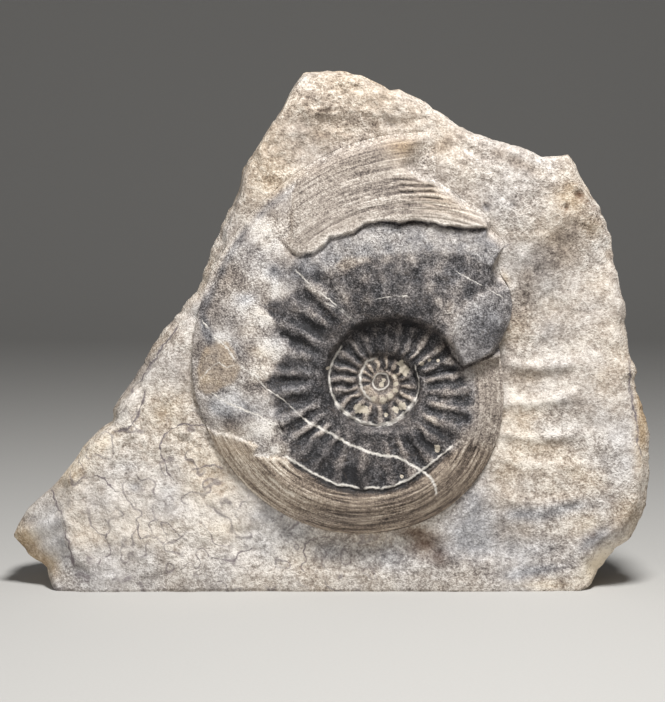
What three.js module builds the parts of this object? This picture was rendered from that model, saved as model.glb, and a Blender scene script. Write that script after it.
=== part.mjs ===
// An ammonite fossil lying in a slab of pale limestone that stands on its sawn base.
// Millimetres; +X is to the viewer's right, +Y away from the viewer, +Z up.
// Relief is measured towards the viewer from the slab's face plane, which leans back a little.

import * as THREE from "three";

const FACE_Y = -20.8; // where the face plane meets the ground
const FACE_LEAN = 0.07; // how far the face goes back for each millimetre of height
const BACK_Y = 30.4;
const BACK_LEAN = 0.035;
const COIL_X = 21; // the centre of the coil
const COIL_Z = 83.2;
const SEAT_RELIEF = -9; // the flat underside of the fossil, inside the slab
const GAP = 0.35; // clearance between the fossil and its seat
const RIBS_PER_TURN = 30;
const FIRST_RIB_ANGLE = 9;
const COIL_START = -360; // the coil's first angle, one turn inside the seam's zero
const LAST_WHORL_START = 167; // the angle where the last whorl's broken end comes round again
const FULL_TURN = 360;
const BASE_BAND = 7; // outline points lower than this belong to the sawn base

// The slab's outline seen from the front, clockwise from the left tip, as x and z.
const SLAB_OUTLINE = [
  [-128.5, 20], [-126, 25], [-122, 31], [-112, 40], [-104, 50], [-99, 57.5], [-92, 63.5], [-88, 66],
  [-87, 72], [-80, 82], [-75.5, 89.5], [-70, 99], [-60, 111], [-52, 122], [-46, 140], [-41, 151],
  [-36, 160], [-34.5, 167], [-31, 174], [-20, 190], [-15, 200], [-10, 206.6], [0, 207], [12, 205.5],
  [17, 203], [24, 199], [28, 200], [37, 195.5], [45, 190], [56, 183], [65, 180], [79, 176],
  [85, 173], [95.5, 174.3], [100, 166], [108, 153], [112.5, 141], [113.5, 132], [118.5, 112], [118.2, 107],
  [120.5, 94], [123.3, 87], [122.7, 83], [126, 73], [128.5, 60], [128, 44], [127.5, 33], [120.5, 19],
  [115, 15.5], [110, 9.5], [105, 4.5], [93, 1.5], [85, 0.5], [70, 0.3], [62, 0.5], [50, 2.3],
  [42, 4], [30, 4.5], [10, 5], [-10, 4.5], [-30, 6], [-50, 6.5], [-65, 5.7], [-80, 4],
  [-96, 4], [-109, 4], [-114, 6.9], [-117, 9.5], [-122, 13],
];

// The fossil's edge against the slab: angle round the coil and radius.
const FOSSIL_EDGE = [
  [0, 75.2], [15, 77.2], [30, 80], [45, 83.2], [60, 87.2], [75, 92.8], [83, 95.8], [90, 98],
  [96, 99.8], [101, 101.5], [102.5, 97], [103.5, 90], [104.5, 84], [107, 82.1], [110, 81.3], [113.7, 79.5],
  [119.5, 79.1], [123.6, 77.8], [125, 74.7], [129, 74.5], [131.5, 73.5], [132.6, 68], [134, 65.6], [137.7, 63.6],
  [142.9, 62.7], [148.3, 60.5], [153.9, 56.3], [157.8, 52.4], [161.6, 48.5], [168, 48], [180, 48], [195, 49.5],
  [210, 51.2], [225, 53.6], [240, 55.6], [255, 57.6], [270, 59.2], [285, 61.6], [300, 64], [315, 66.4],
  [330, 68.8], [345, 71.6], [360, 75.2],
];

// The umbilical seam: the angle unrolled along the coil and the radius.
const SEAM = [
  [-360, 4.1], [-270, 5.1], [-180, 6.5], [-90, 8.2], [0, 9.4], [90, 11], [180, 14], [270, 17],
  [360, 21.3], [420, 23], [450, 24.2], [480, 26.8], [510, 30.8], [527, 32.4],
];

// The line on the last whorl where its outer shell begins; high up it is the foot of the ledge.
const SHELL_LINE = [
  [167, 32.4], [225, 37.2], [270, 41.6], [315, 46.8], [360, 48.5], [385, 53], [401, 54], [415, 57],
  [419, 59.5], [430, 61.5], [440, 62], [449, 64], [460, 66], [475, 69], [484, 67], [495, 55],
  [510, 49], [527, 41],
];

// Relief along the coil at its seam, umbilical shoulder, shell line and outer edge.
const SEAM_RELIEF = [[-360, 0.4], [0, 1], [167, 2.2], [360, 3], [527, 3]];
const SHOULDER_RELIEF = [
  [-360, 1.2], [0, 2.8], [90, 3.8], [167, 4.8], [225, 6.3], [270, 7], [360, 8], [450, 9],
  [495, 10], [527, 8],
];
const LINE_RELIEF = [
  [167, 3], [180, 5.5], [225, 8.3], [270, 9.8], [315, 10], [360, 9], [400, 9], [415, 10],
  [430, 11], [460, 11.3], [484, 10], [500, 9], [527, 7.5],
];
const SHELL_STEP = [
  [167, 0], [200, 0.1], [225, 0.6], [270, 1], [345, 1], [360, 0.4], [400, 0.4], [415, 1],
  [425, 2], [475, 2], [484, 1], [490, 0.1], [527, 0.1],
];
const EDGE_RELIEF = [
  [167, 0.6], [180, 0.6], [225, 0.2], [270, -0.3], [315, 0.2], [340, 1.5], [360, 3], [400, 4],
  [450, 6.5], [461, 7], [470, 7], [484, 6], [495, 4], [510, 2.8], [527, 2.8],
];
const EDGE_ROUNDING = [[167, 1.3], [225, 2], [270, 2.6], [315, 2.4], [345, 1.8], [360, 1.4], [450, 1.2], [527, 1.6]];
const RIB_HEIGHT = [[-360, 0.1], [0, 0.3], [167, 0.35], [225, 0.6], [300, 0.8], [460, 0.8], [490, 0.5], [527, 0.3]];

// The columns of the surface grid across a whorl: the share of its width and of the rib height.
const INNER_COLUMNS = [{ across: 0, rib: 0 }, { across: 0.16, rib: 0.7 }, { across: 0.45, rib: 1 }, { across: 0.8, rib: 0.9 }];
const FLANK_COLUMNS = [{ across: 0, rib: 0 }, { across: 0.1, rib: 0.6 }, { across: 0.4, rib: 1 }, { across: 0.72, rib: 1 }];
const SHELL_COLUMNS = [0, 0.25, 0.5, 0.72, 0.88, 1];
const LINE_COLUMN = FLANK_COLUMNS.length;
const SHELL_EDGE_WIDTH = 0.9;

// How far the slab's front rim lies inside its outline, and how deep the outline lies behind it.
const RIM_INSET = [
  [0, 5], [10, 6], [20, 7], [30, 5.5], [40, 5], [50, 3], [60, 1.5], [130, 1.5],
  [165, 2.5], [175, 4], [190, 5], [200, 4], [210, 6], [220, 8], [230, 6], [240, 3],
  [250, 1.2], [326, 1.2], [329, 8], [332, 14], [335, 20], [338, 22], [340, 18], [343, 4],
  [351, 3], [360, 5],
];
const RIM_DEPTH = [
  [0, 10], [50, 8], [60, 4], [130, 4], [175, 6], [200, 6], [220, 9], [240, 6],
  [320, 6], [329, 9], [335, 15], [340, 14], [344, 7], [360, 10],
];
const FRONT_RINGS = [0.06, 0.18, 0.31, 0.45, 0.59, 0.73, 0.87, 1];
const BACK_RINGS = [0.82, 0.55, 0.25];

// The channel left by the missing outer whorl: the angle and the radius of its deepest line.
const CHANNEL_LINE = [[130, 92], [149.5, 88], [159, 77], [172, 68], [190, 65], [208, 69.5], [222, 74], [260, 80]];
const CHANNEL_DEPTH = [[0, 0], [138, 0], [152, 4.2], [200, 3.4], [225, 2], [250, 0], [360, 0]];
const CHANNEL_WIDTH = 24;
const CHANNEL_RIB_HEIGHT = 0.8;
const CHANNEL_RIB_PITCH = 13.5;

// Broad swells and hollows of the slab's face: centre, half width, half height, relief.
const SWELLS = [
  { x: -18, z: 168, wide: 34, high: 30, relief: 4.5 },
  { x: 68, z: 162, wide: 34, high: 22, relief: 4.5 },
  { x: 20, z: 200, wide: 45, high: 18, relief: 2.5 },
  { x: -60, z: 95, wide: 22, high: 30, relief: 1.8 },
  { x: -70, z: 30, wide: 40, high: 22, relief: 1.2 },
  { x: 10, z: 18, wide: 60, high: 9, relief: -1.6 },
  { x: 85, z: 16, wide: 26, high: 12, relief: -1.2 },
  { x: 116, z: 120, wide: 12, high: 40, relief: -1.2 },
  { x: -108, z: 24, wide: 5, high: 18, relief: -2 },
];

function interpolate(table, at) {
  const last = table.length - 1;
  if (at <= table[0][0]) {
    return table[0][1];
  }
  for (let i = 0; i < last; i += 1) {
    const [from, low] = table[i];
    const [to, high] = table[i + 1];
    if (at <= to) {
      return low + ((high - low) * (at - from)) / (to - from);
    }
  }
  return table[last][1];
}

function wrapped(angle) {
  return ((angle % FULL_TURN) + FULL_TURN) % FULL_TURN;
}

function pointAt(angle, radius) {
  const turn = (angle * Math.PI) / 180;
  return [COIL_X - radius * Math.cos(turn), COIL_Z + radius * Math.sin(turn)];
}

function angleOf([x, z]) {
  return wrapped((Math.atan2(z - COIL_Z, COIL_X - x) * 180) / Math.PI);
}

// Where the ray at an angle leaves the slab's outline.
function outlineRadius(angle) {
  const [rayX, rayZ] = pointAt(angle, 1).map((value, axis) => value - [COIL_X, COIL_Z][axis]);
  let found = 0;
  SLAB_OUTLINE.forEach((from, i) => {
    const to = SLAB_OUTLINE[(i + 1) % SLAB_OUTLINE.length];
    const [startX, startZ] = [from[0] - COIL_X, from[1] - COIL_Z];
    const [edgeX, edgeZ] = [to[0] - from[0], to[1] - from[1]];
    const slant = rayX * edgeZ - rayZ * edgeX;
    const radius = (startX * edgeZ - startZ * edgeX) / slant;
    const along = (startX * rayZ - startZ * rayX) / slant;
    if (radius > 0 && along > -1e-6 && along < 1 + 1e-6) {
      found = Math.max(found, radius);
    }
  });
  return found;
}

function onFace(x, z, relief) {
  return [x, FACE_Y + FACE_LEAN * z - relief, z];
}

function backY(x, z) {
  return BACK_Y - BACK_LEAN * z - 1.2 * (1 + Math.sin(x / 23) * Math.cos(z / 19 + 1));
}

function weathering(x, z) {
  const broad = Math.sin(x / 11 + 1.3 * Math.sin(z / 17)) * Math.cos(z / 9 + x / 31);
  const fine = Math.sin(x / 4.1 + z / 6.3) * Math.cos(z / 3.7 - x / 5.9);
  return 0.45 * broad + 0.25 * fine;
}

function channelRelief(angle, radius) {
  const away = (radius - interpolate(CHANNEL_LINE, angle)) / CHANNEL_WIDTH;
  const depth = interpolate(CHANNEL_DEPTH, angle) * Math.exp(-away * away);
  const along = (angle * Math.PI * radius) / 180;
  const rib = CHANNEL_RIB_HEIGHT * Math.cos((2 * Math.PI * along) / CHANNEL_RIB_PITCH);
  return -depth + (rib * depth) / 4.2;
}

function slabRelief(x, z) {
  const radius = Math.hypot(x - COIL_X, z - COIL_Z);
  let relief = channelRelief(angleOf([x, z]), radius) + weathering(x, z);
  SWELLS.forEach((swell) => {
    const away = Math.hypot((x - swell.x) / swell.wide, (z - swell.z) / swell.high);
    relief += swell.relief * Math.exp(-away * away);
  });
  return relief;
}

class Surface {
  constructor() {
    this.points = [];
    this.faces = [];
  }

  point(position) {
    this.points.push(position);
    return this.points.length - 1;
  }

  ring(positions) {
    return positions.map((position) => this.point(position));
  }

  quad(inner, innerNext, outerNext, outer) {
    this.faces.push([inner, innerNext, outerNext], [inner, outerNext, outer]);
  }

  // Joins two rings that have the same spokes.
  band(inner, outer) {
    inner.forEach((corner, i) => {
      const next = (i + 1) % inner.length;
      this.quad(corner, inner[next], outer[next], outer[i]);
    });
  }

  // Joins two rows whose corners lie at different places, walking along both.
  zip(inner, innerPlaces, outer, outerPlaces) {
    let i = 0;
    let j = 0;
    while (i < inner.length - 1 || j < outer.length - 1) {
      const innerNext = i < inner.length - 1 ? innerPlaces[i + 1] : Infinity;
      const outerNext = j < outer.length - 1 ? outerPlaces[j + 1] : Infinity;
      if (innerNext <= outerNext) {
        this.faces.push([inner[i], inner[i + 1], outer[j]]);
        i += 1;
      } else {
        this.faces.push([inner[i], outer[j + 1], outer[j]]);
        j += 1;
      }
    }
  }

  // Closes a ring with a fan; front is true when the fan faces the viewer.
  fan(centre, ring, front) {
    ring.forEach((corner, i) => {
      const next = ring[(i + 1) % ring.length];
      this.faces.push(front ? [centre, next, corner] : [centre, corner, next]);
    });
  }

  mesh(name, material) {
    const geometry = new THREE.BufferGeometry();
    geometry.setAttribute("position", new THREE.Float32BufferAttribute(this.points.flat(), 3));
    geometry.setIndex(this.faces.filter((face) => new Set(face).size === 3).flat());
    geometry.computeVertexNormals();
    const mesh = new THREE.Mesh(geometry, material);
    mesh.name = name;
    return mesh;
  }
}

// The angles of the fossil's grid rows in one turn, closer together along the broken edge.
function rowAngles() {
  const step = FULL_TURN / RIBS_PER_TURN / 2;
  const angles = [LAST_WHORL_START];
  for (let angle = FIRST_RIB_ANGLE - step; angle < FULL_TURN; angle += step) {
    if (Math.abs(angle - LAST_WHORL_START) > step / 3) {
      angles.push(angle);
    }
    const between = angle + step / 2;
    if (between > 95 && between < 163) {
      angles.push(between);
    }
  }
  return angles.sort((a, b) => a - b);
}

function ribWave(angle) {
  return Math.cos(((angle - FIRST_RIB_ANGLE) * RIBS_PER_TURN * 2 * Math.PI) / FULL_TURN);
}

function edgeRadius(angle) {
  return interpolate(FOSSIL_EDGE, wrapped(angle));
}

function flankRelief(angle, across, rib) {
  const rise = interpolate(SHOULDER_RELIEF, angle);
  const target = interpolate(LINE_RELIEF, angle);
  const wall = Math.min(1, across / 0.1);
  const slope = Math.max(0, (across - 0.1) / 0.9);
  const seam = interpolate(SEAM_RELIEF, angle);
  return seam + (rise + (target - rise) * slope - seam) * wall + rib * interpolate(RIB_HEIGHT, angle) * ribWave(angle);
}

// One grid row of an inner whorl, up to but without the next whorl's seam.
function innerRow(surface, angle) {
  const seam = interpolate(SEAM, angle);
  const width = interpolate(SEAM, angle + FULL_TURN) - seam;
  return INNER_COLUMNS.map(({ across, rib }, i) => {
    const flat = i === 0 ? interpolate(SEAM_RELIEF, angle) : interpolate(SHOULDER_RELIEF, angle);
    const relief = flat + rib * interpolate(RIB_HEIGHT, angle) * ribWave(angle);
    return surface.point(onFace(...pointAt(angle, seam + width * across), relief));
  });
}

// The flank of the last whorl, from its seam to just before the shell line.
function flankRow(surface, angle) {
  const seam = interpolate(SEAM, angle);
  const width = interpolate(SHELL_LINE, angle) - seam;
  return FLANK_COLUMNS.map(({ across, rib }) =>
    surface.point(onFace(...pointAt(angle, seam + width * across), flankRelief(angle, across, rib))),
  );
}

function lineCorner(surface, angle) {
  const relief = interpolate(LINE_RELIEF, angle);
  return surface.point(onFace(...pointAt(angle, interpolate(SHELL_LINE, angle)), relief));
}

// The outer shell of the last whorl, from just past the shell line to the edge.
function shellRow(surface, angle, turned) {
  const from = interpolate(SHELL_LINE, angle) + SHELL_EDGE_WIDTH;
  const to = edgeRadius(angle);
  const top = interpolate(LINE_RELIEF, angle) + interpolate(SHELL_STEP, angle);
  const drop = top - interpolate(EDGE_RELIEF, angle);
  return SHELL_COLUMNS.map((across) => {
    const relief = top - drop * across ** interpolate(EDGE_ROUNDING, angle);
    return surface.point(onFace(...pointAt(angle - turned, from + (to - from) * across), relief));
  });
}

function fossilMesh(material) {
  const surface = new Surface();
  const turn = rowAngles();
  const rowsPerTurn = turn.length;
  const firstOuter = turn.indexOf(LAST_WHORL_START) + rowsPerTurn;
  const lastRow = firstOuter + rowsPerTurn;
  const rows = [];
  for (let k = 0; k <= lastRow; k += 1) {
    const angle = COIL_START + turn[k % rowsPerTurn] + FULL_TURN * Math.floor(k / rowsPerTurn);
    rows.push(k < firstOuter ? innerRow(surface, angle) : flankRow(surface, angle));
  }
  for (let k = 0; k < firstOuter; k += 1) {
    rows[k].push(rows[k + rowsPerTurn][0]);
  }
  rows[firstOuter].push(rows[lastRow][0]);
  for (let k = firstOuter; k <= lastRow; k += 1) {
    const angle = COIL_START + turn[k % rowsPerTurn] + FULL_TURN * Math.floor(k / rowsPerTurn);
    if (k > firstOuter) {
      rows[k].push(lineCorner(surface, angle));
    }
    rows[k].push(...shellRow(surface, angle, k === lastRow ? 2.2 : 0));
  }
  for (let k = 0; k < lastRow; k += 1) {
    const columns = Math.min(rows[k].length, rows[k + 1].length) - 1;
    for (let c = 0; c < columns; c += 1) {
      surface.quad(rows[k][c], rows[k + 1][c], rows[k + 1][c + 1], rows[k][c + 1]);
    }
  }
  closeNucleus(surface, rows, rowsPerTurn);
  closeBrokenEnd(surface, rows[lastRow], rows[firstOuter]);
  closeUnderside(surface, rows.slice(firstOuter));
  return surface.mesh("ammonite", material);
}

// The small middle of the coil, inside its first turn.
function closeNucleus(surface, rows, rowsPerTurn) {
  const start = rows[0];
  const spiral = rows.slice(0, rowsPerTurn + 1).map((row) => row[0]);
  const loop = [...spiral, ...start.slice(1, -1).reverse()];
  const centre = surface.point(onFace(COIL_X, COIL_Z, 1.2));
  surface.fan(centre, loop, true);
}

// The step where the last whorl's broken end stands over the flank below it.
function closeBrokenEnd(surface, end, below) {
  const radius = (corner) => {
    const [x, , z] = surface.points[corner];
    return Math.hypot(x - COIL_X, z - COIL_Z);
  };
  const lower = below.slice(LINE_COLUMN);
  surface.zip(lower, lower.map(radius), end, end.map(radius));
}

// The straight side and flat underside that sit in the slab.
function closeUnderside(surface, outerRows) {
  const edge = outerRows.map((row) => row[row.length - 1]);
  const under = edge.map((corner) => {
    const [x, , z] = surface.points[corner];
    return surface.point(onFace(x, z, SEAT_RELIEF));
  });
  surface.band(edge, under);
  surface.fan(surface.point(onFace(COIL_X, COIL_Z, SEAT_RELIEF)), under, false);
}

// The spokes of the slab's grid: every outline corner, and more between corners far apart.
function spokeAngles() {
  const corners = SLAB_OUTLINE.map(angleOf).sort((a, b) => a - b);
  const spokes = [];
  corners.forEach((corner, i) => {
    const next = i + 1 < corners.length ? corners[i + 1] : corners[0] + FULL_TURN;
    const parts = Math.max(1, Math.ceil((next - corner) / 4.2));
    for (let part = 0; part < parts; part += 1) {
      spokes.push(corner + ((next - corner) * part) / parts);
    }
  });
  return spokes.map(wrapped).sort((a, b) => a - b);
}

// The fossil's edge grown by the clearance, measured square to the edge.
function seatRadius(angle) {
  const before = edgeRadius(angle - 1);
  const after = edgeRadius(angle + 1);
  const slant = (after - before) / ((edgeRadius(angle) * 2 * Math.PI) / 180);
  return edgeRadius(angle) + GAP * Math.min(2.6, Math.hypot(1, slant));
}

function isBase(angle) {
  const [x, z] = pointAt(angle, outlineRadius(angle));
  return z < BASE_BAND && x > -112 && x < 108;
}

function frontRing(surface, spokes, share) {
  return surface.ring(
    spokes.map((angle) => {
      const seat = seatRadius(angle) + 0.6;
      const rim = outlineRadius(angle) - interpolate(RIM_INSET, angle);
      const [x, z] = pointAt(angle, seat + (rim - seat) * share);
      const rounding = share === 1 ? 0.9 : 0;
      return onFace(x, z, slabRelief(x, z) - rounding);
    }),
  );
}

// A ring round the slab's side, at a share of the way from the face to the back.
function sideRing(surface, spokes, share, inset) {
  return surface.ring(
    spokes.map((angle) => {
      const [x, z] = pointAt(angle, outlineRadius(angle) - inset * (1 + 0.4 * Math.sin(angle / 7)));
      const [, front] = onFace(x, z, -interpolate(RIM_DEPTH, angle));
      const y = front + (backY(x, z) - 5 - front) * share;
      return [x, y, isBase(angle) ? 0 : z];
    }),
  );
}

function backRing(surface, spokes, share) {
  return surface.ring(
    spokes.map((angle) => {
      const [x, z] = pointAt(angle, (outlineRadius(angle) - 6) * share);
      return [x, backY(x, z), z];
    }),
  );
}

function slabMesh(material) {
  const surface = new Surface();
  const seatSpokes = rowAngles();
  const spokes = spokeAngles();
  const seat = seatSpokes.map((angle) => pointAt(angle, seatRadius(angle)));
  const floor = surface.ring(seat.map(([x, z]) => onFace(x, z, SEAT_RELIEF - GAP)));
  const lip = surface.ring(seat.map(([x, z]) => onFace(x, z, slabRelief(x, z))));
  const front = FRONT_RINGS.map((share) => frontRing(surface, spokes, share));
  const side = [sideRing(surface, spokes, 0, 0), sideRing(surface, spokes, 0.5, 0.6), sideRing(surface, spokes, 1, 1.5)];
  const back = [backRing(surface, spokes, 0.99), ...BACK_RINGS.map((share) => backRing(surface, spokes, share))];
  surface.fan(surface.point(onFace(COIL_X, COIL_Z, SEAT_RELIEF - GAP)), floor, true);
  surface.band(floor, lip);
  surface.zip(
    [...lip, lip[0]],
    [...seatSpokes, seatSpokes[0] + FULL_TURN],
    [...front[0], front[0][0]],
    [...spokes, spokes[0] + FULL_TURN],
  );
  const rings = [...front, ...side, ...back];
  for (let i = 0; i < rings.length - 1; i += 1) {
    surface.band(rings[i], rings[i + 1]);
  }
  surface.fan(surface.point([COIL_X, backY(COIL_X, COIL_Z), COIL_Z]), rings[rings.length - 1], false);
  return surface.mesh("matrix", material);
}

function buildFossilSlab() {
  const limestone = new THREE.MeshStandardMaterial({ name: "limestone", color: 0xc8bbae, roughness: 0.95 });
  const calcite = new THREE.MeshStandardMaterial({ name: "dark_calcite", color: 0x6f6a67, roughness: 0.7 });
  const group = new THREE.Group();
  group.name = "ammonite_fossil_slab";
  group.add(slabMesh(limestone), fossilMesh(calcite));
  return group;
}

export default buildFossilSlab();
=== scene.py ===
"""An ammonite fossil in a slab of pale limestone, standing on its sawn base."""

import math

import bmesh
import bpy
import numpy as np
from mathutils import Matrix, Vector


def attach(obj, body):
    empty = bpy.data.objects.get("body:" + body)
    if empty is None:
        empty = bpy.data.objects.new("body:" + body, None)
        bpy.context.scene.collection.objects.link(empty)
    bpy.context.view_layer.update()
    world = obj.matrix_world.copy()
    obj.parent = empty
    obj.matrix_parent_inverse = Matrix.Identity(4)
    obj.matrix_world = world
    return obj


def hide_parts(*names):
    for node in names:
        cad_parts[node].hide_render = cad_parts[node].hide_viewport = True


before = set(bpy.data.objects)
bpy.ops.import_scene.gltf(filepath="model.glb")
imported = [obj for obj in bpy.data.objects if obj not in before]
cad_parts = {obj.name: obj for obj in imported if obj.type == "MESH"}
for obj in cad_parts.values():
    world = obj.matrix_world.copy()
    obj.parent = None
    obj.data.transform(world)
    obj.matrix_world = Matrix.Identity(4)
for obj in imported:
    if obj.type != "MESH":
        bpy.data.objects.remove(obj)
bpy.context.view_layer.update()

bl_info = {
    "name": "Ammonite Fossil Slab",
    "version": (1, 0, 0),
    "blender": (4, 5, 0),
    "location": "View3D > Sidebar > Fossil",
    "description": "Builds a ribbed ammonite in a limestone slab, with its stone and shell finishes",
    "category": "Object",
}

MM = 0.001
FULL_TURN = 360.0

# The slab and the coil, in millimetres, in the same frame as the solids.
FACE_Y = -20.8  # where the face plane meets the ground
FACE_LEAN = 0.07  # how far the face goes back for each millimetre of height
BACK_Y = 30.4
BACK_LEAN = 0.035  # how far the back comes forward for each millimetre of height
COIL_X = 21.0
COIL_Z = 83.2
SEAT_RELIEF = -9.0  # the fossil's flat underside, behind the face
GAP = 0.35  # the clearance between the solids
SHOWN_GAP = 0.03  # the seam that shows where the stone has grown round the fossil
BASE_BAND = 7.0  # the lowest stretch of the outline, which is pressed flat to the ground
BACK_ROUNDING = 5.0  # how far the back's edge is rounded, inwards and forwards

# The slab's outline seen from the front, clockwise from the left tip, as x and z.
SLAB_OUTLINE = [
    (-128.5, 20), (-126, 25), (-122, 31), (-112, 40), (-104, 50), (-99, 57.5), (-92, 63.5), (-88, 66),
    (-87, 72), (-80, 82), (-75.5, 89.5), (-70, 99), (-60, 111), (-52, 122), (-46, 140), (-41, 151),
    (-36, 160), (-34.5, 167), (-31, 174), (-20, 190), (-15, 200), (-10, 206.6), (0, 207), (12, 205.5),
    (17, 203), (24, 199), (28, 200), (37, 195.5), (45, 190), (56, 183), (65, 180), (79, 176), (85, 173),
    (95.5, 174.3), (100, 166), (108, 153), (112.5, 141), (113.5, 132), (118.5, 112), (118.2, 107),
    (120.5, 94), (123.3, 87), (122.7, 83), (126, 73), (128.5, 60), (128, 44), (127.5, 33), (120.5, 19),
    (115, 15.5), (110, 9.5), (105, 4.5), (93, 1.5), (85, 0.5), (70, 0.3), (62, 0.5), (50, 2.3), (42, 4),
    (30, 4.5), (10, 5), (-10, 4.5), (-30, 6), (-50, 6.5), (-65, 5.7), (-80, 4), (-96, 4), (-109, 4),
    (-114, 6.9), (-117, 9.5), (-122, 13),
]

# The fossil's edge against the slab: angle round the coil and radius.
FOSSIL_EDGE = [
    (0, 75.2), (15, 77.2), (30, 80), (45, 83.2), (60, 87.2), (75, 92.8), (83, 95.8), (90, 98), (96, 99.8),
    (101, 101.5), (102.5, 97), (103.5, 90), (104.5, 84), (107, 82.1), (110, 81.3), (113.7, 79.5),
    (119.5, 79.1), (123.6, 77.8), (125, 74.7), (129, 74.5), (131.5, 73.5), (132.6, 68), (134, 65.6),
    (137.7, 63.6), (142.9, 62.7), (148.3, 60.5), (153.9, 56.3), (157.8, 52.4), (161.6, 48.5), (168, 48),
    (180, 48), (195, 49.5), (210, 51.2), (225, 53.6), (240, 55.6), (255, 57.6), (270, 59.2), (285, 61.6),
    (300, 64), (315, 66.4), (330, 68.8), (345, 71.6), (360, 75.2),
]

# The edge that the shell had before its upper right was lost, which gives the shell its curve.
SHELL_RIM = [
    *[pair for pair in FOSSIL_EDGE if pair[0] < 97],
    (104, 100.5), (116, 98), (125, 90), (130, 80), (134, 69),
    *[pair for pair in FOSSIL_EDGE if pair[0] > 137],
]

# Along the coil: the angle unrolled, and a radius or a relief in millimetres.
# The outer whorl is the last full turn.
OUTER_START = 167
SEAM = [
    (-360, 4.1), (-270, 5.1), (-180, 6.5), (-90, 8.2), (0, 9.4), (90, 11), (180, 14), (270, 17),
    (360, 21.3), (420, 23), (450, 24.2), (480, 26.8), (510, 30.8), (527, 32.4),
]
SHELL_LINE = [
    (167, 32.4), (225, 37.2), (270, 41.6), (315, 46.8), (360, 48.5), (385, 53), (401, 54), (415, 57),
    (419, 59.5), (430, 61.5), (440, 62), (449, 64), (460, 66), (475, 69), (484, 67), (495, 55),
    (510, 49), (527, 41),
]
SEAM_RELIEF = [(-360, 0.4), (0, 1), (167, 2.2), (360, 3), (527, 3)]
SHOULDER_RELIEF = [
    (-360, 1.2), (0, 2.8), (90, 3.8), (167, 4.8), (225, 6.3), (270, 7), (360, 8), (450, 9),
    (495, 10), (527, 8),
]
LINE_RELIEF = [
    (167, 3), (180, 5.5), (225, 8.3), (270, 9.8), (315, 10), (360, 9), (400, 9), (415, 10),
    (430, 11), (460, 11.3), (484, 10), (500, 9), (527, 7.5),
]
EDGE_RELIEF = [
    (167, 0.6), (180, 0.6), (225, 0.2), (270, -0.3), (315, 0.2), (340, 1.5), (360, 3), (400, 4),
    (450, 6.5), (461, 7), (470, 7), (484, 6), (495, 4), (510, 2.8), (527, 2.8),
]
EDGE_ROUNDING = [(167, 1.3), (225, 2), (270, 2.6), (315, 2.4), (345, 1.8), (360, 1.4), (450, 1.2), (527, 1.6)]
RIB_HEIGHT = [
    (-360, 0.15), (-100, 0.4), (0, 0.65), (120, 0.65), (167, 0.7), (225, 0.7), (300, 0.85), (400, 0.85),
    (460, 0.6), (490, 0.4), (527, 0.2),
]
LOBE_END = [(32.4, 167), (36, 165.4), (42.5, 164.8), (48.5, 163)]

# The crests of the ribs, as angles unrolled along the coil.
RIB_CRESTS = [
    *range(-371, -40, 22), -25, -7, 6, 22, 38.5, 55, 70.5, 85, 97, 109, 122, 135.5, 150, 163, 175, 188,
    201, 214, 228, 241, 254, 267, 284, 300, 312.5, 323, 332, 343, 358, 369, 380.5, 393.5, 405.5,
    417, 428, 440, 452, 464, 477, 490, 503, 515, 527,
]
RIB_LEAN = 5.0  # degrees that a rib falls back across the flank

# How far the slab's front rim lies inside its outline, and how deep the outline lies behind it.
RIM_INSET = [
    (0, 5), (10, 6), (20, 7), (30, 5.5), (40, 5), (50, 3), (60, 1.5), (130, 1.5),
    (165, 2.5), (175, 4), (190, 5), (200, 4), (210, 6), (220, 8), (230, 6), (240, 3),
    (250, 1.2), (326, 1.2), (329, 8), (332, 14), (335, 20), (338, 22), (340, 18), (343, 4),
    (351, 3), (360, 5),
]
RIM_DEPTH = [
    (0, 10), (50, 8), (60, 4), (130, 4), (175, 6), (200, 6), (220, 9), (240, 6),
    (320, 6), (329, 9), (335, 15), (340, 14), (344, 7), (360, 10),
]

# The channel left by the missing outer whorl, and the cast of its ribs.
CHANNEL_LINE = [(130, 92), (149.5, 88), (159, 77), (172, 68), (190, 65), (208, 69.5), (222, 74), (260, 80)]
CHANNEL_DEPTH = [(0, 0), (138, 0), (152, 4.2), (200, 3.4), (225, 2), (250, 0), (360, 0)]
CHANNEL_WIDTH = 24.0
CHANNEL_RIB_HEIGHT = 0.68
CHANNEL_RIB_PITCH = 13.3
CHANNEL_RIB_CREST_Z = 61.0

# Broad swells and hollows of the face: x, z, half width, half height, relief.
SWELLS = [
    (-18, 168, 34, 30, 4.5), (68, 162, 34, 22, 4.5), (20, 200, 45, 18, 2.5), (-60, 95, 22, 30, 1.8),
    (-70, 30, 40, 22, 1.2), (10, 18, 60, 9, -1.6), (85, 16, 26, 12, -1.2), (116, 120, 12, 40, -1.2),
    (-108, 24, 5, 18, -2),
]

# Swells that only the finished surface has, in the same order.
FINE_SWELLS = [
    (50, 172, 11, 13, 2.2), (-80, 71, 3, 8, 1.2), (-8, 193, 7, 5, 1.0), (22, 192, 9, 5, 0.8),
    (-24, 178, 6, 8, 0.8), (-75.5, 72, 1.3, 9, -1.0), (60, 12, 22, 4, 0.8),
]

# Small pits and lumps of the face: x, z, radius, relief.
PITS = [
    (99.5, 158, 2.2, -1.6), (94, 153, 1.3, -1.1), (105, 154, 1.2, -0.9), (77.5, 113.5, 1.1, -0.8),
    (62, 153, 0.9, -0.7), (73, 154, 0.9, -0.7), (-100, 8, 3.5, -1.6), (40, 17, 5, -1.0), (33, 22, 4, -0.9),
    (-56.5, 117, 1.2, -0.8), (46, 13, 3, 0.6), (57, 58, 1.1, -0.8),
]

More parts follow.
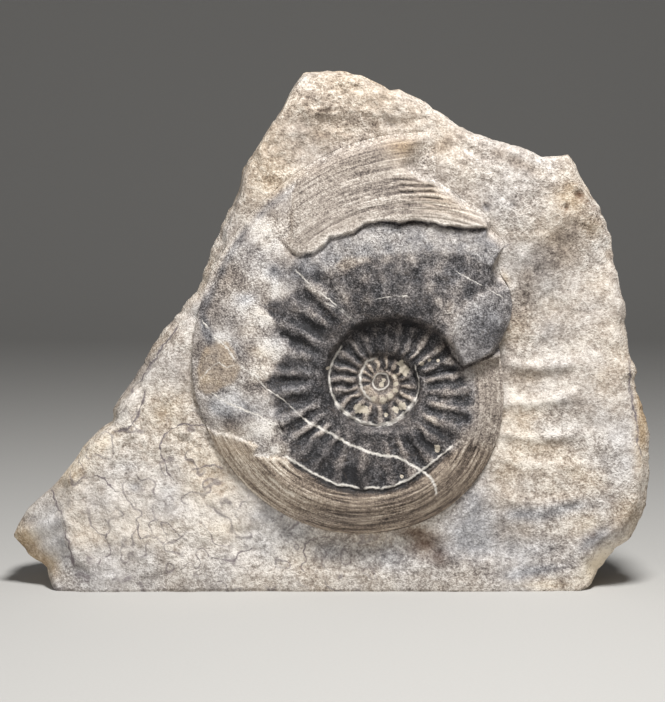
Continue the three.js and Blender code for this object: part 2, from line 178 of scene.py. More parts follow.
# Zones of the fossil's surface, as outlines in x and z.
MOULD = [
    (-12, 131), (-9, 126), (-13.5, 119), (-20, 114.5), (-25, 112.5), (-24, 108), (-21, 104), (-14, 98.5),
    (-13, 95), (-18, 91), (-22, 87), (-26, 84), (-22, 78), (-25.5, 72), (-19.5, 63), (-17, 56), (-10, 47),
    (-5, 44), (0, 41.5), (3, 40), (8, 39.5), (11, 38.5), (21, 38.5), (26, 39.8), (31, 41.5), (36.5, 45),
    (42, 49), (48, 55), (50, 59), (54, 64), (57, 70), (58, 78), (57, 86), (54, 90), (51, 93), (50, 97),
    (47, 101), (49, 107), (50, 112), (54, 116), (60, 119), (68, 124), (66, 131), (60, 134), (50, 136),
    (40, 136), (30, 136), (20, 134), (10, 132), (0, 130), (-8, 128),
]
CRESCENT = [
    (-49, 66), (-44, 63.6), (-38, 62.8), (-32, 60.5), (-28, 59.3), (-30, 55.8), (-25, 55), (-20, 54.5),
    (-17, 54.6), (-10, 49.5), (-5, 46.5), (0, 44), (3, 42.5), (8, 42), (11, 41), (21, 41), (26, 42.3),
    (31, 44), (36.5, 47.8), (42, 52), (48, 57), (54, 60), (63, 58), (70, 50), (60, 10), (0, 10), (-40, 30),
]
BAND = [
    (-19, 140), (-15, 135.5), (-12, 134.4), (-6.6, 135.7), (-2.6, 137.7), (0, 141.7), (5.4, 142.4),
    (9.3, 143.7), (13.3, 146.7), (18.6, 147.7), (22.6, 148), (27.3, 147.3), (33.2, 148.3), (38, 147.7),
    (45, 146.3), (52, 145.3), (63, 145), (60.4, 150.3), (53, 155.6), (46.5, 159.3), (44.5, 161.6),
    (35.2, 164.2), (35.9, 168.2), (38.5, 172.2), (41.8, 176.2), (42.5, 180.8), (47, 188), (10, 195),
    (-12, 175), (-13, 164), (-15, 158), (-15.5, 142),
]
GREY_LEDGE = [
    (-12, 134), (-7, 136), (-2, 138), (0, 142), (8, 142.5), (13, 146.3), (24, 148), (33, 148.3),
    (50, 145.8), (70, 146), (75, 136), (66, 131), (50, 136), (30, 136), (20, 134), (10, 132), (0, 130),
    (-8, 128),
]
LOBE = [
    (50, 112), (54, 116), (60, 119), (66, 121), (72, 122), (76, 115), (73, 110), (70.3, 104.5),
    (67.2, 98.7), (64, 95.8), (60, 93.3), (56, 91.5), (52.5, 90.3), (50, 96), (48.5, 101), (49, 107),
]
RIGHT_ZONE = [
    (51, 62), (55, 66), (57, 72), (58, 80), (57, 86), (55, 90.5), (62, 94), (72, 96), (74, 80), (72, 60),
    (66, 52), (58, 55),
]
BROWN_PATCH = [
    (-49, 97), (-45, 100), (-40, 99.8), (-37, 95.5), (-34.5, 90), (-38, 84.5), (-43, 81.5), (-49, 79),
    (-52, 81), (-51.5, 89),
]

# White calcite veins and pale edges of the shell: half width in millimetres and points in x and z.
VEINS = {
    "vein_long_start": (0.24, [(-30, 88), (-25, 82), (-20, 79), (-14, 73.8), (-8.7, 69)]),
    "vein_long": (0.44, [
        (-8.7, 69), (-1.1, 65), (3, 62.8), (8.2, 59.8), (15.8, 56.9), (20.3, 55.6), (25.9, 55.2),
        (29.5, 53.5), (36.2, 49.9), (40.1, 46.7), (41.7, 43.5), (42.2, 40.5),
    ]),
    "shell_left": (0.4, [
        (-17, 55.4), (-15, 54.2), (-10, 50.9), (-5, 48.1), (0, 45.7), (3, 44.4), (8, 43.9), (11, 43),
    ]),
    "shell_middle": (0.38, [(14.5, 42.9), (17, 43.1), (19, 42.9)]),
    "shell_right": (0.37, [(21, 42.8), (26, 44.2), (31, 46), (36.5, 49.9), (42, 54), (48, 58.8)]),
    "seam_thin": (0.36, [(4.5, 97.7), (1.2, 92.1), (-0.15, 87.1), (0.5, 80.5), (2.8, 75.5), (7.1, 70.9)]),
    # The seam's white line: white calcite, with painted light where the outer whorl's wall faces up.
    "seam_white": (0.58, [
        (3, 75.2), (7.1, 70.9), (12.8, 67.9), (19.1, 66.6), (24.4, 67.6), (28, 69.9), (31.4, 73.2),
        (34, 76.5),
    ]),
    "seam_right": (0.2, [(34, 76.5), (35.3, 80), (35.4, 85), (34, 90)]),
    "inner_ring": (0.4, [(17.5, 93), (14.8, 92.1), (12.1, 86.8), (12.5, 82.1), (14.1, 78.8), (16.1, 76.8)]),
    "patch_line": (0.2, [(-50.5, 86), (-47.5, 89.5), (-43.5, 92), (-40.5, 90), (-35, 92)]),
    "vein_low_left": (0.32, [
        (-46, 79.5), (-40, 76), (-33, 73.2), (-28, 71.5), (-22, 67.6), (-19, 64.8), (-16.2, 62.3),
    ]),
    "vein_high_left": (0.34, [(-50, 108), (-45, 101.5), (-41, 98.5), (-38, 94), (-33, 89), (-28, 86.5)]),
    "vein_pair_a": (0.26, [(-12.9, 128), (-6, 121.5), (2, 115.5), (10.6, 108)]),
    "vein_pair_b": (0.16, [(-4, 117), (3, 113.5), (9.5, 108.4)]),
    "lobe_ridge": (0.14, [(50, 128), (60, 122.5), (68, 118)]),
    "vein_top": (0.16, [(17, 117), (22, 118), (30, 118.5)]),
    "lobe_line": (0.3, [(73.2, 120), (73.8, 115), (73, 110), (71, 104)]),
}
BOLD_VEIN = 0.35  # veins of at least this half width hardly break up along their length

# Grooves of the fossil, all darkened with painted shade; the first four are painted shadow under the lower
# shell's edge, the overhanging umbilical walls and the lobe: half width, depth, and points in x and z.
GROOVES_WITH_PAINTED_SHADE = [
    (1.0, 0.34, [
        (-15, 52.5), (-10, 49.1), (-5, 46.2), (0, 43.7), (4, 42.4), (10, 41.3), (18, 41.2), (26, 42.4),
        (31, 44.2), (36, 47.4), (42, 51.8), (47, 56.2),
    ]),
    (1.3, 0.16, [
        (10.8, 105.4), (16.8, 107), (24.4, 108.4), (31, 107.7), (37.7, 105), (42.6, 101), (47, 96),
    ]),
    (0.8, 0.18, [(12.1, 93.4), (16.8, 94.1), (21.1, 94.3), (26, 93.3), (29.5, 91)]),
    (0.6, 0.34, [
        (45.2, 101), (48.6, 94.3), (52.8, 89.4), (56.2, 90.8), (60.5, 92.6), (64.5, 95), (67.8, 98.3),
        (71, 104),
    ]),
    (0.45, 0.22, [(-19.2, 141), (-16, 136.5), (-12.5, 132.4)]),
    (0.45, 0.3, [(25, 163.9), (30, 164.1), (35.5, 163.4)]),
    (0.4, 0.24, [(27, 161.9), (34, 161.8), (43, 160.9)]),
    (0.45, 0.3, [(28, 159.3), (36, 159.5), (46, 158.8)]),
    (0.4, 0.26, [(28.6, 157.3), (38, 157), (46, 156), (53, 154.6)]),
    (0.4, 0.22, [(29, 154.6), (38, 154.4), (48.5, 153), (55, 151.6), (61, 149.6)]),
    (0.45, 0.16, [(-12, 139), (-4, 143.5), (6, 149), (16, 152.8), (26, 154.4)]),
    (0.4, 0.12, [(-13, 146), (-4, 151), (6, 155.6), (16, 158.4), (24, 159.2)]),
    (0.45, 0.12, [(16, 182), (28, 183.6), (45, 184)]),
    (0.4, 0.2, [(-20, 68.5), (-18, 65.5), (-16.5, 63)]),
    (0.5, 0.16, [(-52, 80.5), (-47, 78.2), (-41, 80.6)]),
]

# Pale crests of the cast ribs on the slab, pale grit with painted light on their tops: half width, tone and
# points in x and z.
CAST_CREST_GRIT_AND_HIGHLIGHTS = [
    (1.7, 0.1, [(71, 88), (76, 89.2), (82, 91.4), (90, 94.8), (97, 97.4), (105, 95.6), (111, 90)]),
    (1.7, 0.15, [(72, 80.6), (74.6, 77), (78, 75), (83, 74.4), (89, 75.6), (93, 78), (97, 81.6)]),
    (1.6, 0.13, [(70.6, 68.6), (73.2, 64.8), (77.4, 61.8), (83, 61), (88.6, 62.4), (93, 65.6), (98, 67.4)]),
    (1.6, 0.12, [(67.6, 58), (70.6, 53.6), (75, 50.2), (80, 48.8), (86.4, 49.8), (92, 52.8)]),
]

# Grey clay seams in the slab, drawn the same way as the veins.
CLAY_SEAMS = {
    "seam_round": (0.27, [
        (-50.3, 65.9), (-56.2, 66.7), (-60.4, 66.3), (-63.4, 64.2), (-65.9, 61.7), (-67.6, 58.7),
        (-67.2, 55.4), (-65.5, 51.6), (-64.6, 47.8), (-62.5, 45.3),
    ]),
    "seam_arch": (0.27, [
        (-100, 43.6), (-96.6, 45.4), (-92.4, 46.5), (-89.1, 45.3), (-87.4, 41.9), (-85.7, 40.2),
        (-80.6, 40.2), (-78.1, 37.7), (-77.4, 34.7),
    ]),
    "seam_step": (0.25, [(-54.1, 49.1), (-51.2, 49.9), (-47, 50.7), (-42.8, 49.5)]),
    "seam_zigzag": (0.26, [
        (-76.4, 29.3), (-76, 25), (-75.6, 20.9), (-73.1, 21.7), (-72.2, 23.4), (-69.7, 22.1), (-65.9, 19.2),
        (-65, 21.7), (-65.5, 25), (-66.7, 27.6), (-64.2, 28.4), (-62.5, 25.9), (-60.4, 23.4), (-57, 20.9),
    ]),
    "seam_low": (0.25, [
        (-58.8, 9.9), (-55.4, 11.6), (-52.4, 9.1), (-52, 11.6), (-53.3, 15), (-52.9, 17.5), (-49.5, 17.1),
        (-47.8, 14.1), (-43.6, 12.4), (-38.5, 12.4), (-35.2, 15.8), (-31, 16.6),
    ]),
    "seam_loop": (0.25, [
        (-9.9, 9.1), (-10.8, 10.7), (-9.1, 12.4), (-10.3, 16.6), (-8.2, 20.9), (-4, 21.3), (1, 22.1),
    ]),
    "seam_hook": (0.25, [
        (-91.6, 11.6), (-90.7, 13.3), (-86.5, 14.5), (-87.4, 17.5), (-89.5, 21.7), (-88.2, 24.2),
    ]),
    "left_crease": (0.42, [(-61, 104.5), (-65.8, 98.5), (-70, 92.3), (-74.1, 86.1), (-79.2, 79.4)]),
    "tip_edge": (0.4, [(-111.6, 39), (-109.3, 34), (-106.6, 29), (-105.4, 22), (-103.2, 16), (-101.5, 10)]),
    "lump_gap": (0.5, [(-73.8, 80), (-74.2, 76.5), (-76.5, 71), (-79, 66), (-83.5, 64.2)]),
    "right_crease": (0.5, [
        (119.8, 92), (119.5, 88.2), (120.1, 79.2), (122.1, 71), (123, 61.4), (124.8, 54),
    ]),
    "right_crack": (0.35, [(71, 138.4), (69.5, 137), (67, 134.4), (65.4, 132.4)]),
}

# Spots of colour on the slab: x, z, half width, half height, turn, tone and warmth.
SLAB_SPOTS = [
    (5, 190, 45, 22, 0, -0.07, 0.2), (-25, 163, 18, 26, 0, -0.05, 0.2), (65, 160, 28, 14, 0, -0.01, -0.12),
    # The next three spots are painted shade on the slope that falls into the channel right of the lobe.
    (98, 146, 9, 5, 35, -0.13, 0.0), (87, 131, 13, 7, 32, -0.25, 0.05), (77, 114, 4, 12, -12, -0.14, 0.1),
    (95.4, 161.6, 3, 1.6, 0, -0.12, 0.2), (80.6, 168, 6, 2.5, -12, -0.12, 0.1),
    (74, 171, 5, 2, -15, -0.1, 0.1), (67, 174.5, 4, 1.8, 0, -0.14, 0.1),
    (72.4, 154, 1.6, 1.6, 0, -0.14, -0.1), (62.2, 152.9, 1.6, 1.6, 0, -0.22, -0.2),
    (96, 157, 8, 5, -20, 0.0, 0.3), (105, 146, 5, 4, 0, -0.02, 0.3), (110, 125, 5, 10, 0, 0.0, 0.2),
    (70, 125, 1.6, 3, 30, 0.05, 0.4), (111.7, 134, 2, 1.6, 0, -0.2, 0.1), (78, 86, 8, 4, 0, -0.1, 0.12),
    (75, 70, 9, 3.5, 0, -0.1, 0.1), (96, 70.6, 9, 3, 10, -0.07, 0.05), (71, 47.6, 6, 5, -20, -0.14, 0.12),
    (86, 57.5, 10, 3, 0, -0.05, 0.15), (104, 45, 9, 5, -20, -0.04, 0.2), (79, 30.6, 12, 4, 0, -0.1, -0.45),
    (90, 62, 12, 18, 0, -0.03, 0.0), (96, 33.6, 8, 3, 10, -0.1, -0.45), (106, 21, 9, 3.5, 38, -0.18, -0.35),
    (86, 8.6, 12, 2.5, 8, -0.14, -0.3), (82, 18, 20, 8, 0, -0.06, -0.35), (56, 22, 16, 12, 0, -0.09, -0.28),
    (58, 38, 7, 8, 0, -0.09, -0.22), (125.5, 70, 3.0, 20, -4, -0.1, 0.85), (90, 110, 12, 9, 0, -0.05, 0.0),
    (118, 31, 6, 8, -30, -0.03, 0.45), (104, 27, 6, 4, 30, 0.05, 0.25), (108, 11, 9, 4.5, 38, 0.34, 0.4),
    (-42, 22, 26, 12, 0, 0.09, -0.2), (-90, 30, 26, 26, 0, 0.03, -0.12), (84, 2.5, 12, 2, 0, 0.0, 0.3),
    (-97, 53, 13, 8, 38, 0.02, 0.28), (-64, 74, 10, 9, 0, 0.02, 0.2), (-96, 21.7, 7, 6, 0, 0.02, 0.2),
    (-37, 25, 8, 6, 0, -0.02, 0.2), (-54, 58, 7, 5, 0, 0.02, 0.1), (-80.6, 50, 6, 3, 0, -0.05, -0.15),
    (-78, 42, 3, 2, 0, -0.14, -0.2), (-64, 34, 11, 8, 0, -0.04, -0.3), (-27, 30.5, 6, 3, 0, -0.08, -0.1),
    (-14, 25, 9, 5, 0, -0.07, -0.2), (3, 15.5, 9, 5, 0, -0.13, -0.35), (22, 14, 9, 5, 0, -0.1, -0.25),
    (-114, 23, 9, 12, 0, 0.13, -0.5), (-108.2, 25, 2, 13, 14, -0.12, -0.15),
    (-77.8, 85.6, 16, 1.7, 54, -0.13, -0.1), (-119.5, 27.5, 5, 1.6, -10, -0.13, -0.1),
    (-113, 33, 3, 3, 0, -0.1, -0.1), (-75, 45, 30, 20, 0, 0.02, 0.1), (-89, 60.5, 6, 3, 38, 0.03, 0.25),
    (-104, 45, 6, 3, 42, 0.02, 0.25), (-99, 7.4, 4.4, 2, -14, -0.22, -0.1),
    (-122.7, 26, 4, 2, 0, -0.14, -0.1), (-123.6, 18, 6, 6, -30, -0.1, 0.75),
    (-115, 10, 8, 4, -25, -0.06, 0.7), (-80, 71, 3, 8, -32, 0.08, -0.05),
    # The first spot below is a painted shadow under the pale lump at the left.
    (-82.6, 64.3, 2.6, 1.0, 8, -0.42, 0.0), (-2.6, 181.5, 2.6, 1.5, 0, -0.2, 0.1),
    (-8, 195.4, 2.6, 2.4, 0, -0.15, 0.0), (-2.5, 191.2, 4, 0.7, 0, -0.22, 0.1),
    (38, 19, 6, 5, 0, -0.26, 0.1), (45, 14, 5, 4, 0, -0.18, 0.05), (33, 24, 6, 2.2, 0, -0.22, 0.1),
    (45, 178, 7, 2.6, 42, -0.2, 0.1), (-30, 180, 8, 6, 0, 0.0, 0.1), (20, 196, 12, 5, 0, 0.0, 0.1),
]

# Rust on the slab: x, z, half width, half height and amount.
RUST_SPOTS = [
    (99.5, 158, 2.1, 1.9, 0.9), (94.1, 152.9, 1.0, 1.5, 0.8), (102.8, 155.2, 1.3, 0.9, 0.7),
    (105.2, 153.3, 0.9, 1.1, 0.6), (38, 19, 5, 4, 0.5), (33, 23.5, 5, 2, 0.4), (112, 36.5, 3, 2.4, 0.3),
    (105.3, 22.4, 1.6, 1.6, 0.3), (44, 13, 3, 3, 0.35),
]

# Spots of colour on the fossil, with the same seven values as on the slab.
FOSSIL_SPOTS = [
    (45, 157, 14, 6, -20, 0.08, 0.2), (8, 172, 26, 8, 15, -0.08, 0.05), (31, 175, 7, 4.5, 0, -0.03, 0.28),
    (-5, 140, 7, 3, 25, 0.06, 0.0), (56, 119, 7, 3, -25, -0.06, 0.0), (-41, 134, 10, 1.8, 58, -0.26, -0.4),
    (-36, 142, 6, 1.8, 50, -0.24, -0.4), (-24, 155, 8, 2.0, 40, -0.24, -0.35),
    (-28, 150, 3, 2, 40, -0.2, -0.3), (-47, 120, 7, 1.8, 68, -0.22, -0.35),
    (-50, 108, 1.8, 6, 10, -0.26, -0.3), (-43, 128, 2, 2, 0, -0.2, -0.3), (-33, 117, 5, 3, 0, -0.12, -0.3),
    (-43, 73, 8, 3, -20, -0.12, -0.25), (-48, 103, 2, 5, 15, -0.18, -0.25),
    (-30, 97, 5, 2.4, -20, -0.05, 0.25), (-32, 74, 5, 3, -20, -0.08, -0.2), (-36, 104, 7, 4, 0, 0.03, 0.1),
    (-26, 103, 5, 3.5, 0, 0.08, 0.15), (-33, 120, 8, 7, 0, 0.05, 0.05), (-27, 67, 6, 4, -30, 0.1, 0.1),
    (-30, 75, 6, 5, 0, 0.05, 0.0), (-22.5, 128, 4, 3, 0, -0.1, -0.2), (-12, 128, 5, 3, 0, -0.1, -0.2),
    (-14, 104.6, 13, 3, 20, -0.14, -0.1), (-17, 82.5, 5, 3, 0, -0.1, -0.2), (-16, 71, 5, 3, 0, -0.12, -0.2),
    (-18, 62, 3, 3, 0, -0.14, -0.1), (-10.5, 120, 3.4, 7, 25, -0.12, -0.05), (10, 124, 6, 5, 0, -0.1, 0.0),
    (31, 127, 6, 5, 0, -0.03, 0.0), (52, 125, 8, 4, 0, -0.03, -0.1), (43.5, 76, 5, 3.4, 0, 0.12, 0.1),
    (41, 69, 6.5, 1.5, -35, 0.2, 0.15), (48, 60.5, 6, 4, -20, -0.12, 0.0), (-25, 96, 7, 4, 0, 0.12, 0.15),
    (17, 51, 5, 4, 0, 0.09, 0.05), (6.5, 53, 2.4, 4, -30, 0.1, 0.0), (16, 62, 9, 1.8, 0, -0.14, 0.0),
    (-3.6, 51.4, 3, 3, 0, -0.08, 0.0), (50, 103, 2.4, 5, -35, 0.1, 0.05), (61, 108.7, 7, 6, 0, -0.04, -0.1),
    (48.5, 109.5, 3, 4.5, -30, 0.12, 0.1), (-30, 140, 8, 7, 0, 0.05, 0.0), (-26, 46, 8, 3, -30, 0.06, 0.0),
    (1.5, 107, 5, 5, 0, -0.07, 0.0), (17, 115, 6, 4, 0, -0.06, 0.0), (39, 109, 5, 3.4, 0, 0.1, 0.1),
    (46, 115, 5, 3.4, 0, 0.12, 0.15), (6, 115, 2.4, 6, 35, 0.1, 0.1), (-6.5, 113, 2.4, 6, 35, 0.1, 0.1),
    (-16, 114, 3, 6, 40, 0.16, 0.1), (-3, 55, 6, 4, 0, -0.06, -0.1), (9, 48, 8, 4, 0, -0.21, -0.1),
    (34, 60, 5, 5, 0, -0.16, -0.1), (42, 62.5, 4, 4, 0, -0.17, -0.1), (55, 71, 4, 6, 0, -0.08, -0.2),
    (20, 65, 8, 1.1, 0, 0.2, 0.05), (31, 68, 4, 2.4, -30, 0.2, 0.15), (37, 66, 5, 2.4, -25, 0.14, 0.1),
    (20, 104, 13, 4.5, 0, -0.06, 0.0), (-8, 84, 6, 22, 0, -0.05, -0.1), (28, 178, 7, 3, 0, -0.03, 0.3),
    (-6.6, 169, 2.4, 1.8, 0, -0.14, 0.1), (-15.5, 149, 1.4, 9, 0, -0.12, 0.1),
    (50, 113, 9, 2.6, 28, 0.13, 0.05), (64, 104, 8, 8, 0, -0.04, -0.1), (57, 58, 2, 1.2, 0, -0.2, 0.0),
    (-24.5, 48.5, 1.6, 0.9, -30, -0.3, 0.0), (60, 52, 6, 4, 0, 0.06, 0.0),
    (-38, 57, 8, 2.6, -20, 0.06, 0.1), (0, 30, 26, 3, 0, -0.05, -0.1),
]
NUCLEUS = (20.5, 84.0, 3.2)  # the bright ring at the coil's heart: x, z and radius
# Cream chalk in the inner whorls: x, z and radius.
CHALK_SPOTS = [
    (29.8, 88.6, 2.5), (28.4, 91.2, 1.7), (11.6, 73.6, 2.3), (13.8, 72.8, 1.9), (26.4, 73.0, 1.6),
    (28.8, 74.4, 1.8), (42.6, 58.2, 1.6), (28.6, 47.2, 0.9), (21.6, 84.5, 1.0), (26.2, 80.4, 1.1),
    (26.4, 83, 1.1), (26, 86, 1.1), (24.4, 78.2, 1.3), (21.5, 76.6, 1.8), (17.4, 77, 1.4),
    (36.4, 91.4, 1.1), (39.6, 92.8, 0.8), (43, 92.6, 0.8), (20.8, 82.7, 1.2), (22.6, 70.8, 1.0),
    (-0.6, 89.6, 1.0),
]

# Tone runs from 0, dark, to 1, pale, and warmth from 0, grey, to 1, ochre.
SLAB_TONE, SLAB_WARMTH = 0.75, 0.41
FOSSIL_TONE, FOSSIL_WARMTH = 0.65, 0.31
RUN_STOPS = (0.15, 0.4, 0.65, 0.92)  # tones of the palette's four steps

# Grain of the two stones: size in millimetres and strength.
LIMESTONE_GRAINS = ((5.0, 0.34), (2.2, 0.55), (0.9, 0.62), (0.5, 0.34))
CALCITE_GRAINS = ((3.0, 0.3), (1.4, 0.4), (0.7, 0.6), (0.45, 0.4))
# Random cracks, in millimetres: the spread of the pattern and the half width of a line.
CRACK_SPREAD, CRACK_HALF = 8, 0.26
HAIRLINE_SPREAD, HAIRLINE_HALF = 14, 0.3
# How lines wander: the size and the reach in millimetres, and how strongly the faint stretches show.
VEIN_WANDER = (1.8, 1.1, 0.1)
SEAM_WANDER = (3.6, 3.6, 0.45)

# The shell's growth lines: length, the upper band's winding inwards, and its first line's radius.
GROWTH_LENGTH = 48.0
GROWTH_CONTRAST = 1.15
BAND_WINDING = 0.003456
BAND_START = 64
BAND_FOOT_Z = 120  # above this height the growth lines are the upper band's
RIDGE_PITCH = 2.25  # between the band's few bold ridges

# The ring inside which the fossil's grid runs evenly round the coil: angle and radius.
INNER_RING = [
    (0, 58), (45, 63), (90, 68), (115, 62), (140, 50), (165, 40), (200, 41), (250, 44), (300, 49),
    (360, 58),
]
INNER_SHARE = 0.7  # how far out this ring lies in the grid, as a share

# The grids of the two skins: spokes round the coil, and rings across the front.
FOSSIL_SPOKES = 700
FOSSIL_RINGS = 138
SLAB_SPOKES = 640
SLAB_RINGS = 104
OUTLINE_STEPS = 7201  # fine steps round the coil, from which the spokes are chosen

# The stage, in metres.
FLOOR_HALF = 3.0
FLOOR_BEND_Y = 1.2  # where the paper starts to curve up
FLOOR_BEND = 0.8  # the curve's radius
FLOOR_BEND_STEPS = 12
FLOOR_TOP = 3.5
KEY_PLACE, KEY_AIM, KEY_SIZE = (0.13, -0.36, 0.82), (0.01, -0.02, 0.09), 0.26
FILL_PLACE, FILL_AIM, FILL_SIZE = (-0.45, -0.95, 0.4), (0.0, 0.0, 0.1), 0.6
FILL_SHARE = 0.2  # of the key light's power
STUDIO_COLOUR, STUDIO_STRENGTH = "#e6e6e8", 0.12
# The camera, in millimetres.
CAMERA_AIM = (1.2, -10.08, 95.6)
PICTURE_WIDTH = 665  # picture points
PICTURE_SCALE = 0.4  # of the slab's face to each picture point
SENSOR_WIDTH = 36.0


def linear(code):
    """Turn an sRGB hex colour into a linear colour with full alpha."""
    channels = [int(code[i : i + 2], 16) / 255 for i in (1, 3, 5)]
    return [c / 12.92 if c <= 0.04045 else ((c + 0.055) / 1.055) ** 2.4 for c in channels] + [1.0]


def read(pairs, at):
    """Read a table of pairs along straight lines between its points."""
    xs, ys = np.array(pairs, float).T
    return np.interp(at, xs, ys)


def read_smooth(pairs, at):
    """Read a table of pairs along a smooth line through its points."""
    xs, ys = np.array(pairs, float).T
    slopes = np.gradient(ys, xs)
    i = np.clip(np.searchsorted(xs, at) - 1, 0, len(xs) - 2)
    span = xs[i + 1] - xs[i]
    t = np.clip((at - xs[i]) / span, 0, 1)
    start = (2 * t**3 - 3 * t**2 + 1) * ys[i] + (t**3 - 2 * t**2 + t) * span * slopes[i]
    end = (3 * t**2 - 2 * t**3) * ys[i + 1] + (t**3 - t**2) * span * slopes[i + 1]
    return start + end


def ease(low, high, at):
    """Rise smoothly from 0 at low to 1 at high."""
    t = np.clip((at - low) / (high - low), 0, 1)
    return t * t * (3 - 2 * t)


def fade(away, half):
    """One on a line or at a middle, falling off softly to either side."""
    return np.exp(-((away / half) ** 2))


def grain(x, z, size, seed):
    """Soft random lumps of one size, from -1 to 1."""
    lattice = np.random.default_rng(seed).uniform(-1, 1, (128, 128))
    u, v = x / size + 64.3, z / size + 64.7
    i, j = np.floor(u).astype(int), np.floor(v).astype(int)
    s, t = ease(0, 1, u - i), ease(0, 1, v - j)
    low = lattice[i % 128, j % 128] * (1 - s) + lattice[(i + 1) % 128, j % 128] * s
    high = lattice[i % 128, (j + 1) % 128] * (1 - s) + lattice[(i + 1) % 128, (j + 1) % 128] * s
    return low * (1 - t) + high * t


def crumble(x, z, size, octaves, seed):
    """Lumps with finer lumps on them."""
    return sum(0.5**k * grain(x, z, size * 0.5**k, seed + k) for k in range(octaves))


def to_polar(x, z):
    """Angle round the coil, clockwise from the left, and radius."""
    angle = np.degrees(np.arctan2(z - COIL_Z, COIL_X - x)) % FULL_TURN
    return angle, np.hypot(x - COIL_X, z - COIL_Z)


def from_polar(angle, radius):
    """Place in x and z of an angle and a radius."""
    turn = np.radians(angle)
    return COIL_X - radius * np.cos(turn), COIL_Z + radius * np.sin(turn)


def outer_side(before, after):
    """Which side of a line lies outside the corner between two of its steps."""
    return 1 if before[0] * after[1] > before[1] * after[0] else -1


def beside_step(from_x, from_z, step):
    """Where places lie beside one step of a line: along it, away from it, square to it, and its length."""
    length = math.hypot(*step)
    ux, uz = step[0] / length, step[1] / length
    along = from_x * ux + from_z * uz
    held = np.clip(along, 0, length)
    away = np.hypot(from_x - held * ux, from_z - held * uz)
    return along, away, from_x * uz - from_z * ux, length


def distance_along(x, z, points):
    """Signed distance to a line of points, and how far past its ends each place lies."""
    best = np.full(x.shape, 1e9)
    side = np.zeros(x.shape)
    past = np.zeros(x.shape)
    steps = [(bx - ax, bz - az) for (ax, az), (bx, bz) in zip(points, points[1:])]
    last = len(steps) - 1
    for k, step in enumerate(steps):
        along, away, cross, length = beside_step(x - points[k][0], z - points[k][1], step)
        start = cross if k == 0 else outer_side(steps[k - 1], step) * away
        end = cross if k == last else outer_side(step, steps[k + 1]) * away
        on_step = np.where(cross < 0, -away, away)
        signed = np.where(along < 0, start, np.where(along > length, end, on_step))
        short = -along if k == 0 else 0
        beyond = along - length if k == last else 0
        over = np.maximum(0, np.maximum(short, beyond))
        near = away < best
        best = np.where(near, away, best)
        side = np.where(near, signed, side)
        past = np.where(near, over, past)
    return side, past


def depth_inside(x, z, outline):
    """Distance inside an outline, less than zero outside it."""
    away = np.full(x.shape, 1e9)
    inside = np.zeros(x.shape, bool)
    for (ax, az), (bx, bz) in zip(outline, outline[1:] + outline[:1]):
        span = (bx - ax) ** 2 + (bz - az) ** 2
        share = np.clip(((x - ax) * (bx - ax) + (z - az) * (bz - az)) / span, 0, 1)
        away = np.minimum(away, np.hypot(x - ax - share * (bx - ax), z - az - share * (bz - az)))
        if az != bz:
            crossing = (az > z) != (bz > z)
            inside ^= crossing & (x < (bx - ax) * (z - az) / (bz - az) + ax)
    return np.where(inside, away, -away)


def outline_radius(angle):
    """Where the ray at each angle leaves the slab's outline."""
    turn = np.radians(angle)
    ray_x, ray_z = -np.cos(turn), np.sin(turn)
    found = np.zeros(np.shape(angle))
    for (ax, az), (bx, bz) in zip(SLAB_OUTLINE, SLAB_OUTLINE[1:] + SLAB_OUTLINE[:1]):
        start_x, start_z = ax - COIL_X, az - COIL_Z
        edge_x, edge_z = bx - ax, bz - az
        slant = ray_x * edge_z - ray_z * edge_x
        slant = np.where(np.abs(slant) < 1e-9, 1e-9, slant)
        radius = (start_x * edge_z - start_z * edge_x) / slant
        along = (start_x * ray_z - start_z * ray_x) / slant
        met = (radius > 0) & (along > -1e-6) & (along < 1 + 1e-6)
        found = np.where(met, np.maximum(found, radius), found)
    return found


def face_y(z, relief):
    """Depth of a place that stands out of the leaning face by its relief."""
    return FACE_Y + FACE_LEAN * z - relief


def back_y(x, z):
    """Depth of the uneven broken back."""
    broken = 1.3 * crumble(x, z, 19, 4, 71) - 0.6
    return BACK_Y - BACK_LEAN * z - 1.2 * (1 + np.sin(x / 23) * np.cos(z / 19 + 1)) - 0.8 + broken


def weathering(x, z):
    """Gentle waves of the face."""
    broad = np.sin(x / 11 + 1.3 * np.sin(z / 17)) * np.cos(z / 9 + x / 31)
    fine = np.sin(x / 4.1 + z / 6.3) * np.cos(z / 3.7 - x / 5.9)
    return 0.45 * broad + 0.25 * fine


def channel_ribs(x, z, angle, radius):
    """The cast of the missing whorl's ribs: steep below each crest and gentle above."""
    depth = read(CHANNEL_DEPTH, angle)
    away = (radius - read_smooth(CHANNEL_LINE, angle)) / CHANNEL_WIDTH
    hollow = depth * fade(away, 1)
    smile = 4.2 * (1 - fade(x - 84, 14))
    phase = (z - smile - CHANNEL_RIB_CREST_Z) / CHANNEL_RIB_PITCH + 0.22 * grain(x, z, 15, 5)
    wave = np.cos(2 * np.pi * phase + 0.7 * np.sin(2 * np.pi * phase))
    reach = ease(60, 74, x) * (1 - ease(92, 112, x)) * ease(22, 36, z) * (1 - ease(92, 106, z))
    return -hollow + CHANNEL_RIB_HEIGHT * wave * reach * (0.75 + 0.4 * grain(x, z, 12, 7))


def slab_relief(x, z):
    """How far the slab's face stands out, roughest near its top and at its lower left."""
    angle, radius = to_polar(x, z)
    relief = channel_ribs(x, z, angle, radius) + weathering(x, z)
    for cx, cz, wide, high, rise in SWELLS + FINE_SWELLS:
        relief = relief + rise * fade(x - cx, wide) * fade(z - cz, high)
    for cx, cz, size, rise in PITS:
        relief = relief + rise * fade((x - cx) ** 2 + (z - cz) ** 2, size**2)
    coarse = 0.35 + 0.5 * ease(158, 180, z) + 0.2 * (1 - ease(-40, 0, x)) * (1 - ease(60, 85, z))
    return relief + coarse * crumble(x, z, 7, 3, 11) + 0.5 * coarse * crumble(x, z, 2.6, 2, 17)


